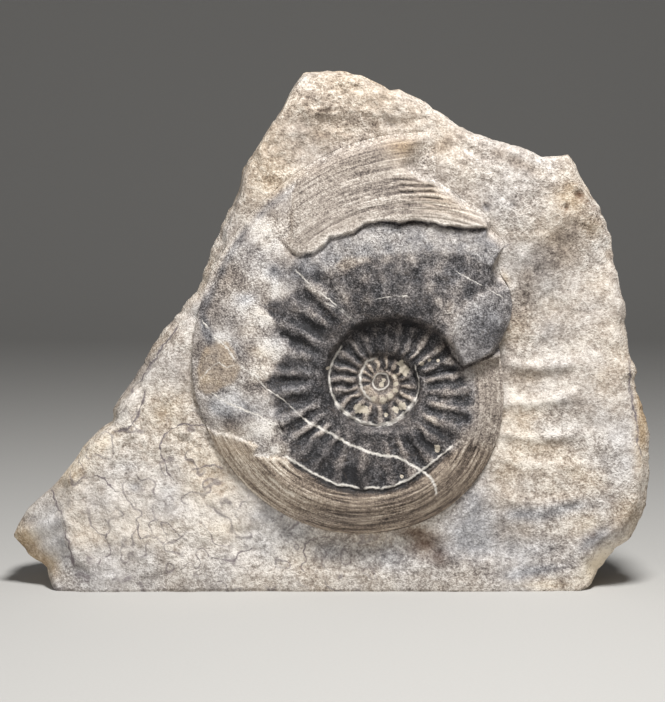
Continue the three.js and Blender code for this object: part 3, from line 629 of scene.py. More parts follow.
def unroll(angle, radius):
    """The angle along the coil of the whorl that each place lies on."""
    along = np.where(angle < read(LOBE_END, radius), angle + FULL_TURN, angle)
    for _ in range(3):
        along = np.where(radius < read_smooth(SEAM, along), along - FULL_TURN, along)
    return along


def rib_wave(along, across, x, z):
    """One at a rib's crest, falling to minus one between ribs."""
    radius = np.maximum(np.hypot(x - COIL_X, z - COIL_Z), 6)
    wander = np.degrees(0.8 * crumble(x, z, 5, 3, 49) / radius)
    phase = np.interp(along + RIB_LEAN * (across - 0.3) + wander, RIB_CRESTS, np.arange(len(RIB_CRESTS)))
    return np.cos(2 * np.pi * phase)


def whorl_place(angle, radius):
    """Where each place lies on its whorl: unrolled angle, share across the flank, share across the shell."""
    along = unroll(angle, radius)
    seam = read_smooth(SEAM, along)
    outer = along > OUTER_START
    line = np.where(outer, read_smooth(SHELL_LINE, along), read_smooth(SEAM, along + FULL_TURN))
    edge = read(SHELL_RIM, angle)
    flank = np.clip((radius - seam) / np.maximum(line - seam, 1), 0, 1)
    shell = np.where(outer, np.clip((radius - line) / np.maximum(edge - line, 1), 0, 1), 0)
    return along, flank, shell


def rib_strength(along, flank, shell, x, z):
    """How strongly the ribs show: fully on the bare mould, unevenly, and hardly on the shell."""
    outer = ease(150, 200, along)
    on_flank = ease(0.02 + 0.1 * outer, 0.2 + 0.2 * outer, flank) * (1 - 0.5 * ease(0.8, 1.0, flank))
    bare = ease(-4, 3, depth_inside(x, z, MOULD))
    weak = (1 - 0.6 * ease(408, 430, along)) * (1 - 0.55 * ease(50, 70, along) * (1 - ease(115, 135, along)))
    uneven = 1 - 0.55 * outer * ease(-0.1, 0.5, grain(x, z, 11, 47))
    return on_flank * (0.3 + 0.7 * bare) * (1 - ease(0, 0.25, shell)) * uneven * weak


def flank_relief(along, flank):
    """The rise from the spiral seam up the whorl's wall and across its flank."""
    seam = read_smooth(SEAM_RELIEF, along)
    shoulder = read_smooth(SHOULDER_RELIEF, along)
    inner = along < OUTER_START
    target = np.where(inner, shoulder, read_smooth(LINE_RELIEF, along))
    wall = np.sin(np.pi / 2 * np.clip(flank / np.where(inner, 0.2, 0.09), 0, 1))
    crown = np.where(inner, 0.35 * np.sin(np.pi * np.clip(flank, 0, 1)), 0.5 * np.sin(np.pi * flank))
    tuck = np.where(inner, 0.5 * ease(0.86, 1.0, flank), 0)
    return seam + (shoulder + (target - shoulder) * flank + crown - seam) * wall - tuck


def band_growth(angle, radius):
    """Distance across the growth lines of the upper band, in millimetres."""
    return radius * np.exp(-BAND_WINDING * (angle - 90)) - BAND_START


def crescent_growth(angle, radius):
    """Distance in from the fossil's edge, across the growth lines of the lower shell."""
    return read(FOSSIL_EDGE, angle) - radius


def growth_lines(growth, along, pitch, seed):
    """Fine ridges that follow the coil, uneven in height and spacing."""
    wander = 0.25 * grain(along, growth, 9, seed)
    fine = grain(growth / pitch * 3 + wander, along / 60, 1.0, seed + 1)
    wide = grain(growth / pitch + wander, along / 90, 1.0, seed + 2)
    return 0.55 * fine + 0.6 * wide


def fossil_relief(angle, radius):
    """How far the fossil stands out of the face plane."""
    x, z = from_polar(angle, radius)
    along, flank, shell = whorl_place(angle, radius)
    top = flank_relief(along, flank)
    edge = read_smooth(EDGE_RELIEF, along)
    rounding = read(EDGE_ROUNDING, along)
    relief = top - (top - edge) * shell**rounding
    ribs = read(RIB_HEIGHT, along) * rib_wave(along, flank, x, z)
    relief = relief + ribs * rib_strength(along, flank, shell, x, z)
    relief = relief + band_step(x, z) + lower_steps(x, z) + growth_ridges(x, z, angle, radius)
    rough = 0.16 + 0.14 * ease(-2, 3, depth_inside(x, z, MOULD))
    relief = relief + rough * crumble(x, z, 4.2, 3, 41) + 0.08 * grain(x, z, 1.3, 45)
    relief = relief + vein_relief(x, z) - groove_depth_and_painted_shade(x, z)
    return relief + (slab_relief(x, z) - relief) * edge_sink(angle, radius, x, z)


def band_step(x, z):
    """The upper band's step up from the ledge, and the trench under its lip."""
    lip = band_lip(x, z)
    ledge = ease(-16, -7, x)
    height = 0.4 + ledge * (0.9 + 0.8 * ease(8, 26, x))
    slope = 0.3 + 1.4 * (1 - ledge)
    trench = (0.4 + 0.7 * ledge) * fade(lip + 0.8, 0.6) * (z < 150)
    return height * ease(-slope, slope, lip) - trench


def lower_steps(x, z):
    """The steps up to the lower shell and to the lobe."""
    shell = 0.8 * ease(-0.4, 0.4, depth_inside(x, z, CRESCENT)) * (1 - ease(46, 54, x))
    return shell + 1.2 * ease(-0.5, 1.2, depth_inside(x, z, LOBE))


def growth_ridges(x, z, angle, radius):
    """The growth lines that stand up from the upper band and the lower shell."""
    across_band = band_growth(angle, radius)
    upper = growth_lines(across_band, angle, 2.4, 21) * ease(0, 1.5, band_lip(x, z))
    lower = growth_lines(crescent_growth(angle, radius), angle, 2.1, 31)
    lower = lower * ease(0, 1, depth_inside(x, z, CRESCENT))
    return 0.2 * upper + 0.24 * lower + strong_ridges(x, z, across_band)


def edge_sink(angle, radius, x, z):
    """Where the fossil's surface runs into the slab's: along its top, and right of the broken shell."""
    away = read(FOSSIL_EDGE, angle) - radius
    along_top = ease(22, 32, angle) * (1 - ease(138, 143, angle)) * (1 - ease(0, 5, away))
    off_band = ease(-0.4 - 12 * ease(163, 170, z), 0.8, -depth_inside(x, z, BAND))
    lost = ease(94, 97, angle) * (1 - ease(121, 125, angle)) * off_band * ease(146, 150, z)
    return np.maximum(along_top, lost)


def band_lip(x, z):
    """Distance in from the upper band's chipped lower edge."""
    return depth_inside(x, z, BAND) + 0.4 * crumble(x, z, 2.6, 3, 107)


def strong_ridges(x, z, growth):
    """The few bold steps at the upper band's right end."""
    reach = ease(22, 31, x) * (1 - ease(57, 63, x)) * ease(150, 152.5, z) * (1 - ease(164.5, 166.5, z))
    return 0.25 * reach * np.sin(2 * np.pi * growth / RIDGE_PITCH)


def vein_relief(x, z):
    """The white edges of the shell stand a little proud; the other veins are flush."""
    relief = np.zeros(x.shape)
    for name in ("shell_left", "shell_middle", "shell_right", "seam_white"):
        half, points = VEINS[name]
        side, past = distance_along(x, z, points)
        relief = relief + 0.3 * fade(side, half * 1.5) * (1 - ease(0, 1.5, past))
    return relief


def seat_radius(angle):
    """The fossil's edge grown by the clearance, measured square to the edge."""
    edge = read(FOSSIL_EDGE, angle % FULL_TURN)
    ahead = read(FOSSIL_EDGE, (angle + 1) % FULL_TURN)
    behind = read(FOSSIL_EDGE, (angle - 1) % FULL_TURN)
    slant = (ahead - behind) / np.radians(2) / edge
    shown = SHOWN_GAP + (GAP - SHOWN_GAP) * ease(136, 140, angle) * (1 - ease(164, 170, angle))
    return edge + shown * np.minimum(2.6, np.hypot(1, slant))


def wrap_grid(name, places, material):
    """Wrap a grid into one closed skin: each row is a ring, the first and last rows are poles."""
    rows, columns = places.shape[0] - 1, places.shape[1] - 1
    skin = bmesh.new()
    bmesh.ops.create_grid(skin, x_segments=columns, y_segments=rows, size=1)
    for corner in skin.verts:
        column = round((corner.co.x + 1) / 2 * columns)
        row = round((corner.co.y + 1) / 2 * rows)
        corner.co = places[row, column] * MM
    bmesh.ops.remove_doubles(skin, verts=skin.verts, dist=0.0005 * MM)
    for face in skin.faces:
        face.smooth = True
    mesh = bpy.data.meshes.new(name)
    skin.to_mesh(mesh)
    skin.free()
    piece = bpy.data.objects.new(name, mesh)
    bpy.context.scene.collection.objects.link(piece)
    mesh.materials.append(material)
    return piece


def corners_of(piece):
    """The piece's corners in millimetres, as three rows of numbers."""
    flat = np.zeros(len(piece.data.vertices) * 3)
    piece.data.vertices.foreach_get("co", flat)
    return flat.reshape(-1, 3).T / MM


def store(piece, name, values):
    """Keep one number for each corner of a piece, for its material to read."""
    layer = piece.data.attributes.new(name, "FLOAT", "POINT")
    layer.data.foreach_set("value", np.ascontiguousarray(values, np.float32))


def store_three(piece, name, first, second, third):
    """Keep three numbers for each corner of a piece."""
    layer = piece.data.attributes.new(name, "FLOAT_VECTOR", "POINT")
    rows = np.stack([first, second, third], axis=1)
    layer.data.foreach_set("vector", np.ascontiguousarray(rows.ravel(), np.float32))


def store_line(piece, name, points):
    """Keep the distance to a line, and past its ends, for each corner of a piece."""
    x, _, z = corners_of(piece)
    side, past = distance_along(x, z, points)
    store_three(piece, name, side, past, np.zeros(x.shape))


def ring_radius(angle, share):
    """Rings that are smooth near the coil's heart and take on the broken edge only further out."""
    edge = read(FOSSIL_EDGE, angle)
    inner = read_smooth(INNER_RING, angle)
    near = inner * np.minimum(share / INNER_SHARE, 1)
    return near + (edge - inner) * np.clip((share - INNER_SHARE) / (1 - INNER_SHARE), 0, 1)


def fossil_spokes():
    """Angles round the coil, closer together where the fossil's edge jumps in or out."""
    fine = np.linspace(0, FULL_TURN, OUTLINE_STEPS)
    crowd = 1 + 7 * ((fine > 100.5) & (fine < 105)) + 3 * ((fine > 130) & (fine < 134.5))
    run = np.concatenate([[0], np.cumsum(crowd[1:])])
    return np.interp(np.linspace(0, run[-1], FOSSIL_SPOKES + 1), run, fine)


def fossil_places():
    """The fossil's skin: its front, its side and the flat underside in the slab."""
    angles = fossil_spokes()
    shares = np.interp(np.linspace(0, 1, FOSSIL_RINGS), [0, 0.26, 0.62, 1], [0, 0.29, 0.66, 1])
    angle, share = np.meshgrid(angles, shares)
    radius = ring_radius(angle, share)
    relief = fossil_relief(angle, np.maximum(radius, 0.02))
    relief[0] = relief[0].mean()
    x, z = from_polar(angle, radius)
    rows = [np.stack([x, face_y(z, relief), z], axis=2)]
    # Down the side, and then inwards across the underside.
    for share, level in ((1, 0.3), (1, 0.65), (1, 1), (0.6, 1), (0.25, 1), (0, 1)):
        edge = read(FOSSIL_EDGE, angles) * share
        x, z = from_polar(angles, edge)
        deep = relief[-1] + (SEAT_RELIEF - relief[-1]) * level
        rows.append(np.stack([x, face_y(z, deep), z], axis=1)[None])
    return np.concatenate(rows)


def outline_spokes():
    """Angles that share the slab's outline out evenly."""
    fine = np.linspace(0, FULL_TURN, OUTLINE_STEPS)
    x, z = from_polar(fine, outline_radius(fine))
    run = np.concatenate([[0], np.cumsum(np.hypot(np.diff(x), np.diff(z)))])
    even = 0.75 * run / run[-1] + 0.25 * fine / FULL_TURN
    return np.interp(np.linspace(0, 1, SLAB_SPOKES + 1), even, fine)


def chips(angle, size, seed):
    """Small breaks round the slab's edge, which meet where the ring closes."""
    turn = np.radians(angle)
    return crumble(100 * np.cos(turn), 100 * np.sin(turn), size, 3, seed)


def broken_side(angle, share):
    """Lumps of the broken side, which change both round the slab and from front to back."""
    turn = np.radians(angle)
    u, v = 105 * np.cos(turn), 105 * np.sin(turn)
    return 0.6 * crumble(u + 60 * share, v, 10, 3, 57) + 0.6 * crumble(u, v + 60 * share, 10, 3, 59)


def base_share(angle):
    """One along the slab's base, which is flat on the ground, falling to zero at the ends of the base."""
    x, z = from_polar(angle, outline_radius(angle))
    return ease(-117, -108, x) * (1 - ease(99, 110, x)) * (z < BASE_BAND)


def slab_places():
    """The slab's skin: the fossil's seat, the face, the rim, the broken side and the back."""
    angles = outline_spokes()
    outline = outline_radius(angles) + 0.5 * chips(angles, 5, 51) + 0.3 * chips(angles, 2, 53) - 0.15
    seat = seat_radius(angles)
    rim = outline - read(RIM_INSET, angles) + 0.6 * chips(angles, 9, 55)
    rows = []
    for share in (0, 0.5, 1):
        x, z = from_polar(angles, seat * share)
        rows.append(np.stack([x, face_y(z, SEAT_RELIEF - GAP), z], axis=1))
    for share in np.linspace(0, 1, SLAB_RINGS):
        radius = seat + (rim - seat) * share
        x, z = from_polar(angles, radius)
        rounding = 0.9 * ease(0.0, 1.0, 1 - (rim - radius) / 2.5) ** 2 * (1 - base_share(angles))
        rows.append(np.stack([x, face_y(z, slab_relief(x, z) - rounding), z], axis=1))
    front_y = rows[-1][:, 1]
    bulge_y = outline_y(angles, outline, rim, front_y)
    rows.extend(rim_places(angles, outline, rim, front_y, bulge_y))
    rows.extend(side_places(angles, outline, bulge_y))
    rows.extend(back_places(angles, outline))
    return np.stack(rows)


def outline_y(angles, outline, rim, front_y):
    """Depth of the slab's outline: just behind the face along the base, and further back elsewhere."""
    _, rim_z = from_polar(angles, rim)
    _, z = from_polar(angles, outline)
    below = front_y + FACE_LEAN * (z - rim_z) + 0.5
    return below + (face_y(z, -read(RIM_DEPTH, angles)) - below) * (1 - base_share(angles))


def rim_places(angles, outline, rim, front_y, bulge_y):
    """The sloping rim, from the face out to the outline."""
    rows = []
    for share in (0.25, 0.5, 0.75, 1):
        x, z = from_polar(angles, rim + (outline - rim) * share)
        z = z * (1 - share * base_share(angles))
        rows.append(np.stack([x, front_y + (bulge_y - front_y) * share, z], axis=1))
    return rows


def side_places(angles, outline, bulge_y):
    """The broken side, from the outline to the back's rounded edge."""
    rows = []
    base = base_share(angles)
    worn = outline_radius(angles) - 0.5
    for share in np.linspace(0.05, 1, 20):
        carry = ease(0, 0.25, share)
        rough = 1.5 * broken_side(angles, share) * ease(0, 0.15, share) * (1 - ease(0.9, 1, share))
        radius = outline * (1 - carry) + worn * carry + rough - 2.2 * share
        x, z = from_polar(angles, radius)
        end_y = back_y(x, z) - BACK_ROUNDING
        y = bulge_y + (end_y - bulge_y) * share + 0.5 * chips(angles, 4, 61) * (1 - share)
        rows.append(np.stack([x, y, z * (1 - base)], axis=1))
    return rows


def back_places(angles, outline):
    """The back, from its rounded edge in to its middle."""
    rows = []
    for share in (0.985, 0.96, 0.9, 0.8, 0.68, 0.56, 0.44, 0.32, 0.2, 0.1, 0):
        x, z = from_polar(angles, (outline - BACK_ROUNDING) * share)
        rows.append(np.stack([x, back_y(x, z), z], axis=1))
    return rows


def add(tree, kind, links=(), output=0, **settings):
    """Add one node with its settings and links, and give back one of its outputs."""
    node = tree.nodes.new("ShaderNode" + kind)
    for name, value in settings.items():
        setattr(node, name, value)
    for key, value in dict(links).items():
        if isinstance(value, bpy.types.NodeSocket):
            tree.links.new(value, node.inputs[key])
        else:
            node.inputs[key].default_value = value
    return node.outputs[output]


def start_material(name):
    """An empty material, and the place of each point of the piece in metres."""
    material = bpy.data.materials.new(name)
    material.use_nodes = True
    tree = material.node_tree
    tree.nodes.clear()
    return material, tree, add(tree, "TexCoord", output="Object")


def finish_material(tree, colour, roughness, bump, specular):
    """Give a material its shader and its output."""
    shader = add(tree, "BsdfPrincipled", {"Base Color": colour, "Roughness": roughness, "Normal": bump})
    shader.node.inputs["Specular IOR Level"].default_value = specular
    tree.links.new(shader, tree.nodes.new("ShaderNodeOutputMaterial").inputs["Surface"])


def grained(tree, place, tone, grains):
    """Add grain to a tone: each grain has a size in millimetres and a strength."""
    amount = add(tree, "Attribute", output="Fac", attribute_name="grain")
    for size, strength in grains:
        links = {"Vector": place, "Scale": 1 / (size * MM), "Detail": 2.0, "Roughness": 0.6}
        speck = add(tree, "TexNoise", links)
        change = add(tree, "Math", {0: speck, 1: strength, 2: -strength / 2}, operation="MULTIPLY_ADD")
        tone = add(tree, "Math", {0: change, 1: amount, 2: tone}, operation="MULTIPLY_ADD")
    return tone


def pocks(tree, place, size):
    """Small round pits, white at their middles, about one size in metres apart."""
    cells = add(tree, "TexVoronoi", {"Vector": place, "Scale": 1 / size}, output="Distance")
    return add(tree, "MapRange", {0: cells, 1: 0.1, 2: 0.38, 3: 1.0, 4: 0.0}, interpolation_type="SMOOTHSTEP")


def fill_run(run, colours):
    """Give a run of colours its stops, from dark to pale."""
    stops = run.node.color_ramp.elements
    stops[0].position = RUN_STOPS[0]
    stops[1].position = RUN_STOPS[-1]
    for place in RUN_STOPS[1:-1]:
        stops.new(place)
    for stop, colour in zip(stops, colours):
        stop.color = colour
    return run


def stone_colour(tree, tone, palette):
    """The stone's colour from its tone, dark to pale, and its warmth, grey to ochre."""
    grey = fill_run(add(tree, "ValToRGB", {0: tone}), palette_run(palette, "grey"))
    ochre = fill_run(add(tree, "ValToRGB", {0: tone}), palette_run(palette, "ochre"))
    warmth = add(tree, "Attribute", output="Fac", attribute_name="warmth")
    return add(tree, "Mix", {0: warmth, 6: grey, 7: ochre}, output=2, data_type="RGBA")


def palette_run(palette, kind):
    """The palette's four steps of grey or of ochre."""
    return [getattr(palette, f"{kind}_{step}") for step in ("dark", "middle", "pale", "chalk")]


def line_mask(tree, name, half, wobble, swell, broken):
    """A mask for a thin line that wavers and swells, and that comes and goes along its length."""
    stored = add(tree, "Attribute", output="Vector", attribute_name=name)
    parts = add(tree, "SeparateXYZ", {0: stored}).node
    shifted = add(tree, "Math", {0: parts.outputs[0], 1: wobble}, operation="ADD")
    away = add(tree, "Math", {0: shifted}, operation="ABSOLUTE")
    away = add(tree, "Math", {0: away, 1: swell}, operation="DIVIDE")
    line = add(tree, "MapRange", {0: away, 1: half * 0.3, 2: half * 1.5, 3: 1.0, 4: 0.0})
    ends = add(tree, "MapRange", {0: parts.outputs[1], 1: 0.0, 2: 1.2, 3: 1.0, 4: 0.0})
    shown = add(tree, "Math", {0: line, 1: ends}, operation="MULTIPLY")
    return add(tree, "Math", {0: shown, 1: broken}, operation="MULTIPLY")


def line_noise(tree, place, size, reach, low):
    """The sideways wander of a line, how it swells, and how strongly it shows along its length."""
    drift = add(tree, "TexNoise", {"Vector": place, "Scale": 1 / (size * MM), "Detail": 2.0})
    wobble = add(tree, "Math", {0: drift, 1: reach, 2: -reach / 2}, operation="MULTIPLY_ADD")
    patches = add(tree, "TexNoise", {"Vector": place, "Scale": 1 / (2.2 * size * MM), "Detail": 3.0})
    broken = add(tree, "MapRange", {0: patches, 1: 0.38, 2: 0.56, 3: low, 4: 1.0})
    lumps = add(tree, "TexNoise", {"Vector": place, "Scale": 1 / (0.8 * size * MM), "Detail": 2.0})
    swell = add(tree, "MapRange", {0: lumps, 1: 0.3, 2: 0.7, 3: 0.35, 4: 1.7})
    return wobble, swell, broken


def clay_seams(tree, place, colour, clay):
    """Draw the clay seams over a colour."""
    wobble, swell, broken = line_noise(tree, place, *SEAM_WANDER)
    for name, (half, _) in CLAY_SEAMS.items():
        mask = line_mask(tree, name, half, wobble, swell, broken)
        colour = add(tree, "Mix", {0: mask, 6: colour, 7: clay}, output=2, data_type="RGBA")
    return colour


def limestone(palette, settings):
    """Fine-grained limestone worked with an air pen: matt and chalky, and pocked all over.

    The pen's marks are about 1 mm apart, and are drawn half as coarse again so that they show.
    """
    material, tree, place = start_material("air_pen_worked_limestone")
    stored = add(tree, "Attribute", output="Fac", attribute_name="tone")
    tone = grained(tree, place, stored, LIMESTONE_GRAINS)
    pits = pocks(tree, place, settings.pock_size)
    tone = add(tree, "Math", {0: pits, 1: -0.04, 2: tone}, operation="MULTIPLY_ADD")
    colour = stone_colour(tree, tone, palette)
    rust = add(tree, "Attribute", output="Fac", attribute_name="rust")
    colour = add(tree, "Mix", {0: rust, 6: colour, 7: settings.rust_colour}, output=2, data_type="RGBA")
    fine = hairlines(tree, place, HAIRLINE_SPREAD, HAIRLINE_HALF)
    colour = add(tree, "Mix", {0: fine, 6: colour, 7: settings.seam_colour}, output=2, data_type="RGBA")
    colour = clay_seams(tree, place, colour, settings.seam_colour)
    height = add(tree, "Math", {0: pits, 1: -0.1, 2: tone}, operation="MULTIPLY_ADD")
    bump = add(tree, "Bump", {"Strength": 1.0, "Distance": 0.75 * MM, "Height": height})
    finish_material(tree, colour, 0.92, bump, 0.25)
    return material


def broken_up(tree, place, line, patch, low):
    """Let a line come and go in patches of a size in millimetres, where the piece shows such lines."""
    reach = add(tree, "Attribute", output="Fac", attribute_name="seams")
    patches = add(tree, "TexNoise", {"Vector": place, "Scale": 1 / (patch * MM), "Detail": 2.0})
    broken = add(tree, "MapRange", {0: patches, 1: low, 2: low + 0.14})
    shown = add(tree, "Math", {0: line, 1: reach}, operation="MULTIPLY")
    return add(tree, "Math", {0: shown, 1: broken}, operation="MULTIPLY")


def cracks(tree, place, size, half):
    """A net of fine cracks between patches of stone, bent and broken up."""
    bend = add(tree, "TexNoise", {"Vector": place, "Scale": 1 / (0.4 * size * MM), "Detail": 3.0}, output=1)
    bent = add(tree, "VectorMath", {0: bend, 1: (0.8 * size * MM,) * 3, 2: place}, operation="MULTIPLY_ADD")
    cells = add(tree, "TexVoronoi", {"Vector": bent, "Scale": 1 / (size * MM)}, feature="DISTANCE_TO_EDGE")
    line = add(tree, "MapRange", {0: cells, 1: 0.2 * half / size, 2: half / size, 3: 0.6, 4: 0.0})
    return broken_up(tree, place, line, 0.6 * size, 0.46)


def hairlines(tree, place, size, half):
    """Thin wavering lines, where a slow pattern crosses a few levels."""
    slow = add(tree, "TexNoise", {"Vector": place, "Scale": 1 / (size * MM), "Detail": 1.6, "Roughness": 0.6})
    levels = add(tree, "Math", {0: slow, 1: 0.11}, operation="PINGPONG")
    line = add(tree, "MapRange", {0: levels, 1: 0.2 * half / size, 2: half / size, 3: 0.7, 4: 0.0})
    return broken_up(tree, place, line, 0.7 * size, 0.4)


def growth_tone(tree, tone, pitch):
    """Add the shell's growth lines: long fine grooves, a pitch in metres apart."""
    stored = add(tree, "Attribute", output="Vector", attribute_name="shell_lines")
    parts = add(tree, "SeparateXYZ", {0: stored}).node
    across = add(tree, "Math", {0: parts.outputs[0], 1: MM / pitch}, operation="MULTIPLY")
    along = add(tree, "Math", {0: parts.outputs[1], 1: 1.0 / GROWTH_LENGTH}, operation="MULTIPLY")
    laid = add(tree, "CombineXYZ", {0: across, 1: along})
    lines = add(tree, "TexNoise", {"Vector": laid, "Scale": 1.0, "Detail": 3.0, "Roughness": 0.7})
    links = {0: lines, 1: GROWTH_CONTRAST, 2: -GROWTH_CONTRAST / 2}
    centred = add(tree, "Math", links, operation="MULTIPLY_ADD")
    return add(tree, "Math", {0: centred, 1: parts.outputs[2], 2: tone}, operation="MULTIPLY_ADD")


def chalk_fillings(tree, place, colour, chalk):
    """Fill hollows of the inner whorls with ragged spots of chalk."""
    stored = add(tree, "Attribute", output="Fac", attribute_name="chalk")
    ragged = add(tree, "TexNoise", {"Vector": place, "Scale": 1 / (1.4 * MM), "Detail": 2.0})
    filled = add(tree, "Math", {0: ragged, 1: 1.3, 2: stored}, operation="MULTIPLY_ADD")
    mask = add(tree, "MapRange", {0: filled, 1: 0.7, 2: 0.95})
    return add(tree, "Mix", {0: mask, 6: colour, 7: chalk}, output=2, data_type="RGBA")


def white_veins(tree, place, colour, white):
    """Draw the veins over a colour: bold ones nearly whole, and fine ones broken up."""
    wobble, swell, broken = line_noise(tree, place, *VEIN_WANDER)
    whole = add(tree, "MapRange", {0: broken, 1: 0.1, 2: 0.6, 3: 0.8, 4: 1.0})
    steady = add(tree, "MapRange", {0: swell, 1: 0.35, 2: 1.7, 3: 0.7, 4: 1.5})
    for name, (half, _) in VEINS.items():
        kind = (steady, whole) if half >= BOLD_VEIN else (swell, broken)
        mask = line_mask(tree, name, half, wobble, *kind)
        colour = add(tree, "Mix", {0: mask, 6: colour, 7: white}, output=2, data_type="RGBA")
    return colour


def heart_ring(tree, colour, white):
    """Draw the bright ring at the coil's heart over a colour."""
    ring = add(tree, "Attribute", output="Fac", attribute_name="nucleus")
    away = add(tree, "Math", {0: ring}, operation="ABSOLUTE")
    mask = add(tree, "MapRange", {0: away, 1: 0.1, 2: 0.5, 3: 0.9, 4: 0.0})
    return add(tree, "Mix", {0: mask, 6: colour, 7: white}, output=2, data_type="RGBA")


def fossil_stone(palette, settings):
    """Dark calcite mould with white veins, and brown shell: slightly waxy where dark, chalky where pale.

    The shell's growth lines are less than 1 mm apart, and are drawn a little coarser so that they show.
    """
    material, tree, place = start_material("calcite_mould_and_shell")
    stored = add(tree, "Attribute", output="Fac", attribute_name="tone")
    tone = growth_tone(tree, stored, settings.growth_pitch)
    tone = grained(tree, place, tone, CALCITE_GRAINS)
    colour = stone_colour(tree, tone, palette)
    net = cracks(tree, place, CRACK_SPREAD, CRACK_HALF)
    colour = add(tree, "Mix", {0: net, 6: colour, 7: settings.crack_colour}, output=2, data_type="RGBA")
    colour = chalk_fillings(tree, place, colour, settings.chalk_colour)
    colour = white_veins(tree, place, colour, settings.vein_colour)
    colour = heart_ring(tree, colour, settings.vein_colour)
    bump = add(tree, "Bump", {"Strength": 0.9, "Distance": 0.6 * MM, "Height": tone})
    roughness = add(tree, "MapRange", {0: tone, 1: 0.25, 2: 0.65, 3: 0.55, 4: 0.88})
    finish_material(tree, colour, roughness, bump, 0.35)
    return material


def paper(settings):
    """Plain pale studio paper: even and matt, with a faint tooth."""
    material, tree, place = start_material("studio_paper")
    tooth = add(tree, "TexNoise", {"Vector": place, "Scale": 1 / (1.2 * MM), "Detail": 3.0})
    links = {0: tooth, 6: settings.floor_colour, 7: settings.fibre_colour}
    colour = add(tree, "Mix", links, output=2, data_type="RGBA")
    bump = add(tree, "Bump", {"Strength": 0.1, "Distance": 0.1 * MM, "Height": tooth})
    finish_material(tree, colour, 0.9, bump, 0.2)
    return material


def sum_spots(x, z, spots):
    """Add up soft oval spots into a tone and a warmth."""
    tone, warmth = np.zeros(x.shape), np.zeros(x.shape)
    for cx, cz, wide, high, turn, tone_change, warmth_change in spots:
        slant = math.radians(turn)
        u = (x - cx) * math.cos(slant) + (z - cz) * math.sin(slant)
        v = (z - cz) * math.cos(slant) - (x - cx) * math.sin(slant)
        shape = fade(u, wide) * fade(v, high)
        tone += tone_change * shape
        warmth += warmth_change * shape
    return tone, warmth


def slab_tones(x, y, z):
    """How pale and how warm the slab is at each place; the listed colours stay on its front."""
    depth = y - face_y(z, 0)
    side = ease(2.5, 7, depth)
    unseen = ease(12, 20, depth)
    u, v = x + 0.8 * depth * side, z + 0.5 * depth * side
    tone, warmth = sum_spots(x, z, SLAB_SPOTS)
    patches = 0.035 * crumble(u, v, 24, 4, 91) + 0.05 * crumble(u, v, 5, 3, 93)
    tone = (tone + crest_grit_and_highlight(x, z)) * (1 - unseen) + SLAB_TONE + patches
    warmth = warmth * (1 - unseen) + SLAB_WARMTH + 0.18 * crumble(u, v, 20, 4, 95)
    return tone - 0.02 * side - 0.08 * unseen, warmth + 0.16 * side


def mould_shade(along, flank, z):
    """How much darker the mould is by the spiral seam, with painted shade at the inner whorl's top, and low
    on the coil.
    """
    shade = 0.09 * (1 - ease(0.08, 0.32, flank)) * (along > 150)
    # Painted shade on the inner whorl's top, under the outer whorl's overhanging wall.
    shade = shade + 0.05 * ease(50, 70, along) * (1 - ease(115, 135, along))
    return shade + 0.08 * (1 - ease(50, 62, z)) - 0.05 * ease(112, 120, z)


def zone_layers(x, z, angle, radius):
    """The fossil's zones: outline, softness and unevenness of the edge in millimetres, tone and warmth."""
    along, flank, shell = whorl_place(angle, radius)
    ragged = 2.4 * crumble(x, z, 8, 5, 81)
    chipped = 0.4 * crumble(x, z, 2.5, 3, 83)
    mottle = crumble(x, z, 4, 4, 89)
    # Paler rib crests and darker gaps: beige matrix on the crests, with painted light on the crests and
    # painted shade in the gaps.
    crest = ease(-0.6, 1.0, rib_wave(along, flank, x, z)) - 0.45
    ribs = crest * rib_strength(along, flank, shell, x, z) * (0.85 + 0.5 * grain(x, z, 7, 105))
    contrast = 0.34 + 0.16 * (1 - ease(-6, 8, x))
    heart = 1 - ease(8, 15, radius)
    mould = 0.33 + contrast * ribs + 0.11 * mottle + 0.05 * heart - mould_shade(along, flank, z)
    mould = np.maximum(mould, 0.21 + 0.05 * mottle)
    mould_warmth = 0.14 + 0.3 * ribs + 0.1 * mottle + 0.2 * heart
    left = 1 - ease(-22, -8, x)
    shell_tone = 0.48 + 0.15 * (1 - ease(-20, 6, x)) + 0.03 * mottle
    return (
        (MOULD, 2.6, 1.5 * ragged, mould, mould_warmth),
        (GREY_LEDGE, 2.0, ragged, 0.61 + 0.09 * mottle, 0.12 + 0.08 * mottle),
        (RIGHT_ZONE, 2.0, ragged, 0.58 + 0.06 * mottle, 0.45),
        (LOBE, 0.5 + 1.5 * ease(100, 106, z), chipped, 0.5 + 0.12 * mottle, 0.12),
        (CRESCENT, 0.4 + 0.5 * left + 4 * ease(45, 56, x), chipped * (1 + 2 * left), shell_tone, 0.62),
        (BAND, 0.5, chipped, 0.62 + 0.03 * mottle, 0.42),
        (BROWN_PATCH, 1.0, ragged * 0.5, 0.62 + 0.07 * mottle, 0.68 + 0.15 * mottle),
    )


def shell_lines(x, z):
    """Where each place lies across and along the growth lines, and how strongly they show."""
    angle, radius = to_polar(x, z)
    inside = depth_inside(x, z, BAND)
    lip = 0.9 * (1 - ease(2, 4.5, inside)) * (1 - ease(8, 18, x)) * (z < 155)
    band = ease(0, 1, inside) * (1 - edge_sink(angle, radius, x, z)) * (1 - lip)
    lower = ease(0, 1, depth_inside(x, z, CRESCENT))
    right = ease(-1, 1, depth_inside(x, z, RIGHT_ZONE)) * (1 - lower)
    across = np.where(z > BAND_FOOT_Z, band_growth(angle, radius), crescent_growth(angle, radius))
    shown = (0.8 + 0.15 * ease(10, 30, x)) * band + 1.25 * lower + 0.5 * right
    return across, np.radians(angle) * radius, shown


